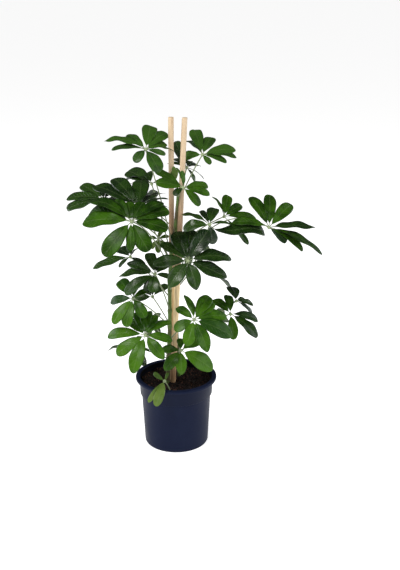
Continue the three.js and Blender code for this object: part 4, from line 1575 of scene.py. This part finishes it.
@dataclass(frozen=True)
class BladeForm:
    """How the blade of every leaflet is shaped.

    Args:
        points: the points across its upper side, both edges included, and across the lower one.
        crowding: the power by which they crowd towards the rib.
        section: the power by which its section thins towards the edge.
        stations: the rings along it.
        stalk_stations: the rings along the leaflet's stalk.
        stalk_end: how far before the blade the last of these lies, as a share of the stalk.
        end_crowding: how strongly the rings crowd towards both ends.
        thickness: its thickness at the rib, in millimetres.
        breadth: half its breadth as a share of its length.
        base_power: the power by which it widens from its foot.
        opening: the share of the blade in which the stalk flattens into it.
        tip_from: where on it the thinner tip starts.
        tip_thickness: the tip's thickness as a share of the rest's.
        fold: how high its edges stand, as a share of half the breadth.
        rib_round: how softly the fold turns at the rib.
        rib_drop: how far the rib lies lower than the fold's own corner.
        wave_scale: makes the double bend as high as the leaflet's wave says.
        ripple: the greatest height of the waves along its edge, in millimetres.
        ripple_turns: how many radians of them lie along it.
        ripple_shift: how far the waves of one edge run ahead of the other's, in radians.
        ripple_edge: the power by which they fade towards the rib.
        usual: the length for which that height holds, in millimetres.
        groove: the depth of the groove over the rib, in millimetres.
        groove_width: its width as a share of half the breadth.
        sway: how far the blade bends to its side, as a share of its length.
    """

    points: int = 15
    crowding: float = 1.5
    section: float = 0.6
    stations: int = 34
    stalk_stations: int = 7
    stalk_end: float = 0.08
    end_crowding: float = 0.6
    thickness: float = 0.8
    breadth: float = 0.205
    base_power: float = 0.78
    opening: float = 0.12
    tip_from: float = 0.97
    tip_thickness: float = 0.6
    fold: float = 0.12
    rib_round: float = 0.012
    rib_drop: float = 0.11
    wave_scale: float = 10.4
    ripple: float = 1.5
    ripple_turns: float = 13.0
    ripple_shift: float = 1.7
    ripple_edge: float = 2.2
    usual: float = 80.0
    groove: float = 0.35
    groove_width: float = 0.08
    sway: float = 0.018

    def across(self) -> tuple[np.ndarray, np.ndarray]:
        """The points round the blade's section.

        Returns:
            Each one's place across, from -1 to 1, and its place in the thickness.
        """
        step = np.linspace(-1, 1, self.points)
        across = np.sign(step) * np.abs(step) ** self.crowding
        across = np.concatenate([across, across[-2:0:-1]])
        side = np.where(np.arange(len(across)) < self.points, 1.0, -1.0)
        return across, side * (1 - across ** 2) ** self.section

    def along(self) -> tuple[np.ndarray, np.ndarray]:
        """The rings along the leaflet.

        Returns:
            Each one's place on the blade, 0 to 1, and on the stalk, from 1 down to 0 at the blade.
        """
        even = np.linspace(0, 1, self.stations)
        blade = self.end_crowding * (0.5 - 0.5 * np.cos(even * math.pi)) + (1 - self.end_crowding) * even
        stalk = np.linspace(1, self.stalk_end, self.stalk_stations)
        share = np.concatenate([0 * stalk, blade])[None, :, None]
        return share, np.concatenate([stalk, 0 * blade])[None, :, None]


@dataclass
class LeafGrower:
    """Builds whole leaves from their plans: stalk, hub and leaflets.

    Sizes are in millimetres.

    Args:
        stems: the stems that leaves grow on.
        form: the shape of the blades.
        stalk_radius: the common radius of a leaf's stalk.
        stalk_rings: the rings of that stalk.
        stalk_sides: the corners of such a ring.
        stalk_tints: its tint at its foot and how much paler it is at its end.
        stalk_slim: its least radius, as a share of the common one.
        foot_swell: how much it swells at its foot, and how far that reaches.
        end_swell: the same at its end.
        hub_radius: the radius of the hub.
        hub_rings: the rings of the hub.
        hub_sides: the corners of such a ring.
        hub_lumps: how high its lumps are, as a share of its radius.
        hub_tint: its tint.
        leaflet_root: how far from the hub's middle a leaflet's stalk starts.
        stalk_share: the leaflet's stalk as a share of its length.
        leaflet_stalk_radius: the radius of that stalk.
        shoot_depth: how deep the shoot's stalk reaches below the soil's level.
    """

    stems: dict[StemName, Stem]
    form: BladeForm = BladeForm()
    stalk_radius: float = 1.6
    stalk_rings: int = 40
    stalk_sides: int = 12
    stalk_tints: Span = (0.15, 0.5)
    stalk_slim: float = 0.86
    foot_swell: Span = (1.1, 7.0)
    end_swell: Span = (0.35, 4.0)
    hub_radius: float = 3.9
    hub_rings: int = 12
    hub_sides: int = 18
    hub_lumps: float = 0.10
    hub_tint: float = 0.9
    leaflet_root: float = 2.0
    stalk_share: float = 0.11
    leaflet_stalk_radius: float = 0.95
    shoot_depth: float = 24.0

    def leaflet_line(self, plan: LeafPlan, leaflet: Leaflet) -> tuple[np.ndarray, np.ndarray, float]:
        """A leaflet's direction, upper side and length from how it is seen.

        It leans so that, seen from the front, it points the way that it is seen, while it
        falls below its whorl's plane by the droop.

        Args:
            plan: the leaf.
            leaflet: the leaflet.

        Returns:
            Unit direction, unit upper direction, and length in millimetres.
        """
        turn, tip = (math.radians(q) for q in plan.face)
        angle = math.radians(leaflet.seen)
        face = (math.sin(turn) * math.cos(tip), math.sin(tip), math.cos(turn) * math.cos(tip))
        in_face = math.cos(angle) * face[0] + math.sin(angle) * face[1]
        drop = math.asin(math.sin(math.radians(plan.droop)) / math.hypot(in_face, face[2]))
        turned = math.atan2(in_face, face[2])
        away = math.cos(turned + drop) < 0
        lean = math.radians(leaflet.lean) + (math.pi - turned + drop if away else -turned - drop)
        along = (RIGHT * math.cos(lean) * math.cos(angle) + RISE * math.cos(lean) * math.sin(angle)
                 + TOWARD * math.sin(lean))
        upper = RIGHT * face[0] + RISE * face[1] + TOWARD * face[2]
        upper = unit(upper - along * float(upper @ along))
        upper = turned_about(upper, along, math.radians(leaflet.roll))
        return along, upper, leaflet.reach / math.cos(lean)

    def leaflets(self, plan: LeafPlan, surface: Surface, rng: np.random.Generator) -> None:
        """Adds a leaf's leaflets: flattened tubes, round at the stalk and wide in the blade.

        At a share r of the way from hub to tip the middle line lies the length times
        4 r (1 - r) times the bow higher than a straight one, and a double bend adds
        r (1 - r) (1 - 2 r) times the wave and its scale. A point at a share s of the blade and
        a place a across it lies a times the half width to the side of that line. The half
        width grows as s to the base power and shrinks as (1 - s) to the power of the leaflet's
        point. The edges are raised by the fold and waved a little, the rib is sunk above and
        stands out below.

        Args:
            plan: the leaf.
            surface: what they are added to.
            rng: seeded numbers for waves and tints.
        """
        def each(values: list) -> np.ndarray:
            """One value or place per leaflet, ready to meet the rings and the points across."""
            return np.array(values)[:, None, None]

        form = self.form
        lines = [self.leaflet_line(plan, leaflet) for leaflet in plan.leaflets]
        along, upper, length = (each(values) for values in zip(*lines))
        own = each([leaflet.broad for leaflet in plan.leaflets])
        bow = each([plan.bow if leaflet.bow is None else leaflet.bow for leaflet in plan.leaflets])
        wave = each([leaflet.wave for leaflet in plan.leaflets])
        point = each([leaflet.point for leaflet in plan.leaflets])
        count = len(lines)
        a, above = form.across()
        share, stalk = form.along()
        start = self.leaflet_root / length
        run = np.where(stalk > 0, start + (self.stalk_share - start) * (1 - stalk),
                       self.stalk_share + (1 - self.stalk_share) * share)
        wide = form.breadth * plan.broad * own * length * (1 - self.stalk_share)
        widest = form.base_power / (form.base_power + point)
        wide = wide * (share / widest) ** form.base_power
        wide = wide * (np.maximum(1 - share, 0) / (1 - widest)) ** point
        wide = np.maximum(wide, self.leaflet_stalk_radius * (1 - share ** 8))
        in_blade = np.clip(share / form.opening, 0, 1)
        thick = self.leaflet_stalk_radius * (1 - in_blade) + in_blade * form.thickness / 2
        thick = thick * np.where(share > form.tip_from, form.tip_thickness, 1.0)
        crease = np.sqrt(a ** 2 + form.rib_round) - form.rib_drop
        phase = rng.uniform(0, 2 * math.pi, (count, 1, 1)) + form.ripple_shift * np.sign(a)
        ripple = rng.uniform(0.2, 1.0, (count, 1, 1)) * form.ripple
        ripple = ripple * np.sin(form.ripple_turns * share + phase)
        ripple = ripple * np.abs(a) ** form.ripple_edge * in_blade * (length / form.usual)
        groove = -form.groove * np.exp(-(a / form.groove_width) ** 2) * in_blade * (1 - share)
        arch = 4 * bow + form.wave_scale * wave * (1 - 2 * run)
        lift = length * run * (1 - run) * arch + in_blade * form.fold * wide * crease + ripple + groove
        sway = rng.uniform(-1, 1, (count, 1, 1)) * form.sway * length * np.sin(math.pi * run) * in_blade
        rings = (np.array(plan.hub) + along * (length * run)[..., None]
                 + np.cross(upper, along) * (wide * a + sway)[..., None]
                 + upper * (lift + thick * above)[..., None])
        uv = np.stack(np.broadcast_arrays((a + 1) / 2, share + 0 * length), -1)
        # Leaflets of other leaves get a random tint; those of the leaves in front get their painted light
        # and shade from the table.
        drawn = rng.uniform(0, 1, count)
        tint = np.array(PAINTED_LEAFLET_LIGHT.get(plan.name, drawn), dtype=float)[:, None] + 0 * share[..., 0]
        finish = np.full((count, share.shape[1] - 1, len(a)), LeafPart.UNDER, dtype=int)
        finish[..., :form.points - 1] = LeafPart.TOP
        finish[:, :form.stalk_stations] = LeafPart.STALK
        surface.tubes(rings * MM, uv, tint, finish)

    def stalk(self, plan: LeafPlan, surface: Surface) -> None:
        """Adds the leaf's stalk: a tube along an arched curve, with a swollen foot and end.

        The curve has one control point, halfway between root and hub and raised by twice the
        arch times their distance. Its swellings fade as exp(-d), d in their own reaches.

        Args:
            plan: the leaf.
            surface: what it is added to.
        """
        if plan.stem is StemName.NONE:
            root = np.array([plan.foot[0], plan.foot[1], SOIL_LEVEL - self.shoot_depth])
        else:
            root = self.stems[plan.stem].at(np.array([plan.root]))[0]
        hub = np.array(plan.hub)
        whole = np.linalg.norm(hub - root)
        middle = (root + hub) / 2 + plan.arch * 2 * whole * UP
        t = np.linspace(0, 1, self.stalk_rings)[:, None]
        centre = root * (1 - t) ** 2 + middle * 2 * t * (1 - t) + hub * t ** 2
        tangent = unit((middle - root) * (1 - t) + (hub - middle) * t)
        flat = unit(np.cross(hub - root, np.array([0.3, 1.0, 0.2])))
        flat = unit(flat - tangent * (tangent @ flat)[:, None])
        up = np.cross(tangent, flat)
        swelling = self.stalk_slim
        for t_from, (swell, reach) in ((t, self.foot_swell), (1 - t, self.end_swell)):
            swelling = swelling + swell * np.exp(-t_from * whole / reach)
        radius = self.stalk_radius * swelling[:, None]
        ring = circle(self.stalk_sides)
        rings = centre[:, None] + radius * (flat[:, None] * ring[:, :1] + up[:, None] * ring[:, 1:2])
        surface.plain_tubes(rings[None] * MM, self.stalk_tints[0] + self.stalk_tints[1] * t.T,
                            LeafPart.STALK)

    def knob(self, plan: LeafPlan, surface: Surface) -> None:
        """Adds the hub: a small lumpy ball, paler than the stalk.

        Args:
            plan: the leaf.
            surface: what it is added to.
        """
        shape = ball(self.hub_rings, self.hub_sides, margin=0.12)
        bumps = 1 + self.hub_lumps * soft_noise(shape, 1.3, 21)
        rings = (np.array(plan.hub) + self.hub_radius * shape * bumps[..., None])[None]
        surface.plain_tubes(rings * MM, np.full((1, self.hub_rings), self.hub_tint), LeafPart.STALK)

    def build(self, plan: LeafPlan, finishes: list[bpy.types.Material], seed: int) -> bpy.types.Object:
        """Builds one whole leaf and dresses it.

        Args:
            plan: the leaf.
            finishes: upper side, lower side and stalk.
            seed: picks its waves and tints.

        Returns:
            The leaf.
        """
        surface = Surface(plan.name + "_dressed")
        self.leaflets(plan, surface, np.random.default_rng(seed))
        self.stalk(plan, surface)
        self.knob(plan, surface)
        return surface.make(finishes, plan.name, plan.tone.value)


@dataclass(frozen=True)
class Lamp:
    """A soft square light.

    Args:
        name: its name.
        place: where it hangs, in metres.
        aim: the height above the floor's middle that it points at, in metres.
        size: its side, in metres.
        power: its strength in watts.
        colour: its colour.
    """

    name: str
    place: Vector3
    aim: float
    size: float
    power: float
    colour: Colour

    def hang(self) -> None:
        """Hangs the light, turned about the upright axis and tipped so that it points at its aim."""
        lamp = bpy.data.lights.new(self.name, "AREA")
        lamp.size = self.size
        lamp.energy = self.power
        lamp.color = self.colour
        made = bpy.data.objects.new(self.name, lamp)
        made.location = self.place
        x, y, z = self.place
        made.rotation_euler = (math.atan2(math.hypot(x, y), z - self.aim), 0.0, math.atan2(x, -y))
        bpy.context.scene.collection.objects.link(made)


@dataclass
class Studio:
    """The floor, the soft lights and the camera at the photograph's viewing angle.

    Args:
        camera_place: where the camera stands, in metres.
        camera_fall: how far it looks down, in degrees.
        sight: its focal length in pixels of the photograph.
        long_side: the photograph's longer side in pixels.
        sensor: the width of its sensor, in millimetres.
        floor_size: the floor's side, in metres.
        floor_colour: the floor's colour.
        surround: the surround's strength in light on dull things.
        mirrored: its strength in mirrored light.
        lamps: the soft lights.
    """

    camera_place: Vector3 = (0.0575, -2.100, 1.140)
    camera_fall: float = 19.45
    sight: float = 957.0
    long_side: float = 570.0
    sensor: float = 36.0
    floor_size: float = 60.0
    floor_colour: Colour = (0.93, 0.93, 0.93)
    surround: float = 0.50
    mirrored: float = 0.07
    lamps: tuple[Lamp, ...] = (
        Lamp("key", (-1.3, -1.6, 2.4), 0.45, 1.2, 60.0, (1.0, 0.98, 0.95)),
        Lamp("fill", (1.9, -1.5, 1.4), 0.4, 1.4, 18.0, (0.95, 0.97, 1.0)),
        Lamp("left_side", (-2.0, 0.5, 0.9), 0.3, 1.2, 22.0, (0.92, 0.96, 1.0)),
        Lamp("right_side", (2.0, 0.7, 0.9), 0.3, 1.2, 20.0, (0.92, 0.96, 1.0)),
    )

    def floor(self) -> bpy.types.Object:
        """Lays the pale floor under the pot.

        Returns:
            The floor.
        """
        half = self.floor_size / 2
        mesh = bpy.data.meshes.new("floor")
        mesh.from_pydata([(-half, -half, 0), (half, -half, 0), (half, half, 0), (-half, half, 0)], [],
                         [(0, 1, 2, 3)])
        made = bpy.data.objects.new("floor", mesh)
        bpy.context.scene.collection.objects.link(made)
        mesh.materials.append(FloorFinish("pale_floor", self.floor_colour).make())
        return made

    def world(self) -> None:
        """Sets a white surround whose light on the plant is softer than it looks."""
        world = bpy.data.worlds.new("white_surround")
        bpy.context.scene.world = world
        world.use_nodes = True
        nodes, links = world.node_tree.nodes, world.node_tree.links
        nodes.clear()
        path = nodes.new("ShaderNodeLightPath")
        soft = nodes.new("ShaderNodeMix")
        soft.inputs[2].default_value = self.surround
        soft.inputs[3].default_value = self.mirrored
        links.new(path.outputs["Is Glossy Ray"], soft.inputs[0])
        seen = nodes.new("ShaderNodeMix")
        seen.inputs[3].default_value = 1.0
        links.new(path.outputs["Is Camera Ray"], seen.inputs[0])
        links.new(soft.outputs[0], seen.inputs[2])
        glow = nodes.new("ShaderNodeBackground")
        glow.inputs["Color"].default_value = (1.0, 1.0, 1.0, 1.0)
        links.new(seen.outputs[0], glow.inputs["Strength"])
        out = nodes.new("ShaderNodeOutputWorld")
        links.new(glow.outputs[0], out.inputs["Surface"])

    def camera(self) -> None:
        """Places the camera: its place, its fall and its lens come from the photograph."""
        data = bpy.data.cameras.new("camera")
        data.sensor_width = self.sensor
        data.lens = self.sensor * self.sight / self.long_side
        data.clip_end = 200.0
        made = bpy.data.objects.new("camera", data)
        made.location = self.camera_place
        made.rotation_euler = (math.radians(90 - self.camera_fall), 0.0, 0.0)
        bpy.context.scene.collection.objects.link(made)
        bpy.context.scene.camera = made

    def build(self) -> None:
        """Builds floor, lights, surround and camera."""
        self.floor()
        for lamp in self.lamps:
            lamp.hang()
        self.world()
        self.camera()
        bpy.context.scene.view_settings.view_transform = "Standard"


PALE_RIB = (0.30, 0.40, 0.16)
# Painted light and shade: how much light each leaflet of the leaves in front gets, as its tint from 0, deep
# green with a painted dull sheen, to 1.
PAINTED_LEAFLET_LIGHT: dict[str, tuple[float, ...]] = {
    "leaf_top_left": (0.55, 0.25, 0.35, 0.8, 0.6, 0.95, 0.4, 0.3, 0.2, 0.25),
    "leaf_top_right": (0.55, 0.3, 0.05, 0.7, 0.5, 0.6, 0.4, 0.8),
    "leaf_top_front": (0.6, 0.7, 0.5, 0.95, 0.75, 0.7, 0.6, 0.15),
    "leaf_left_front": (0.75, 0.12, 0.25, 0.2, 0.3, 0.3, 0.15, 0.3, 0.25, 0.35, 0.6, 0.55),
    "leaf_left_far": (0.75, 0.6, 0.9, 0.3, 0.3, 0.3),
    "leaf_left_middle": (0.3, 0.05, 0.3, 0.45, 0.3, 0.25, 0.2),
    "leaf_right_far": (0.35, 0.4, 0.6, 0.1, 0.5, 0.2, 0.05, 0.5),
    "leaf_centre_front": (0.4, 0.3, 0.1, 0.35, 0.3, 0.6, 0.8, 0.6, 0.9),
    "leaf_low_left_far": (0.05, 0.8, 0.6, 0.2, 0.2, 0.4, 0.4),
    "leaf_low_left_front": (0.6, 0.75, 0.8, 0.45, 0.5, 0.5, 0.35, 0.3, 0.25, 0.35),
    "leaf_low_right_front": (0.4, 0.5, 0.55, 0.45, 0.45, 0.6, 0.8, 0.3, 0.1),
    "leaf_low_centre": (0.85, 0.75, 0.5, 0.4, 0.2, 0.25),
}
LEAF_TOPS = {
    Tone.BRIGHT: LeafTopFinish("leaf_top_bright", (0.011, 0.050, 0.0010), (0.053, 0.147, 0.0045), PALE_RIB),
    Tone.GREEN: LeafTopFinish("leaf_top_green", (0.0055, 0.025, 0.0008), (0.033, 0.100, 0.0025), PALE_RIB,
                              shine=0.15),
    Tone.DARK: LeafTopFinish("leaf_top_dark", (0.003, 0.015, 0.0012), (0.018, 0.056, 0.003), PALE_RIB,
                             gloss=0.26, shine=0.42),
    Tone.YOUNG: LeafTopFinish("leaf_top_young", (0.050, 0.110, 0.012), (0.120, 0.190, 0.035), PALE_RIB),
}
LEAF_UNDERS = {
    Tone.BRIGHT: LeafUnderFinish("leaf_under_bright", (0.05, 0.09, 0.03), (0.09, 0.14, 0.05), PALE_RIB),
    Tone.GREEN: LeafUnderFinish("leaf_under_green", (0.04, 0.07, 0.03), (0.07, 0.11, 0.05), PALE_RIB),
    Tone.DARK: LeafUnderFinish("leaf_under_dark", (0.035, 0.05, 0.035), (0.07, 0.09, 0.07), PALE_RIB),
    Tone.YOUNG: LeafUnderFinish("leaf_under_young", (0.10, 0.15, 0.05), (0.16, 0.22, 0.08), PALE_RIB),
}


def main() -> None:
    """Builds every piece, dresses it and reports it."""
    logging.basicConfig(level=logging.INFO, format="%(name)s: %(message)s")
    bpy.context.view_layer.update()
    Studio().build()
    stems = {
        StemName.FRONT: Stem("stem_front", foot=6.0, tip=2.6, line=FRONT_LINE),
        StemName.BACK: Stem("stem_back", foot=4.2, tip=2.4, line=BACK_LINE),
    }
    for plan in LEAVES:
        if plan.stem in stems:
            stems[plan.stem].joints.append(plan.root)
    plastic = PotFinish("pot_plastic", body=(0.0056, 0.0088, 0.0258), dust=(0.0110, 0.0160, 0.0380))
    earth = SoilFinish("soil_crumbs", dark=(0.0022, 0.0009, 0.0008), brown=(0.0175, 0.0062, 0.0048),
                       fibre=(0.085, 0.034, 0.020))
    made = [Pot().build(plastic), Soil().build(earth)]
    wood = WoodFinish("stake_wood", pale=(0.62, 0.49, 0.33), painted_light_wood=(0.89, 0.69, 0.39),
                      dark=(0.46, 0.32, 0.20), shade_and_stain=(0.27, 0.14, 0.07)).make()
    made.append(Stake("stake_left", foot=(-9.0, 8.0), head=(-6.5, 4.0), seed=5).build(wood))
    made.append(Stake("stake_right", foot=(-7.0, -8.0), head=(24.0, -2.0), seed=6).build(wood))
    skin = StemFinish("stem_skin", green=(0.085, 0.150, 0.028), brown=(0.075, 0.060, 0.030),
                      pore=(0.30, 0.30, 0.18)).make()
    made.extend(stem.build(skin) for stem in stems.values())
    stalk = StalkFinish("stalk_skin", deep=(0.050, 0.058, 0.030), light=(0.30, 0.37, 0.20)).make()
    tops = {tone: finish.make() for tone, finish in LEAF_TOPS.items()}
    unders = {tone: finish.make() for tone, finish in LEAF_UNDERS.items()}
    grower = LeafGrower(stems)
    for number, plan in enumerate(LEAVES):
        finishes = [tops[plan.tone], unders[plan.tone], stalk]
        made.append(grower.build(plan, finishes, 100 + number))
    for piece in made:
        log.info("%s: %d faces", piece.name, len(piece.data.polygons))


if __name__ == "__main__":
    main()
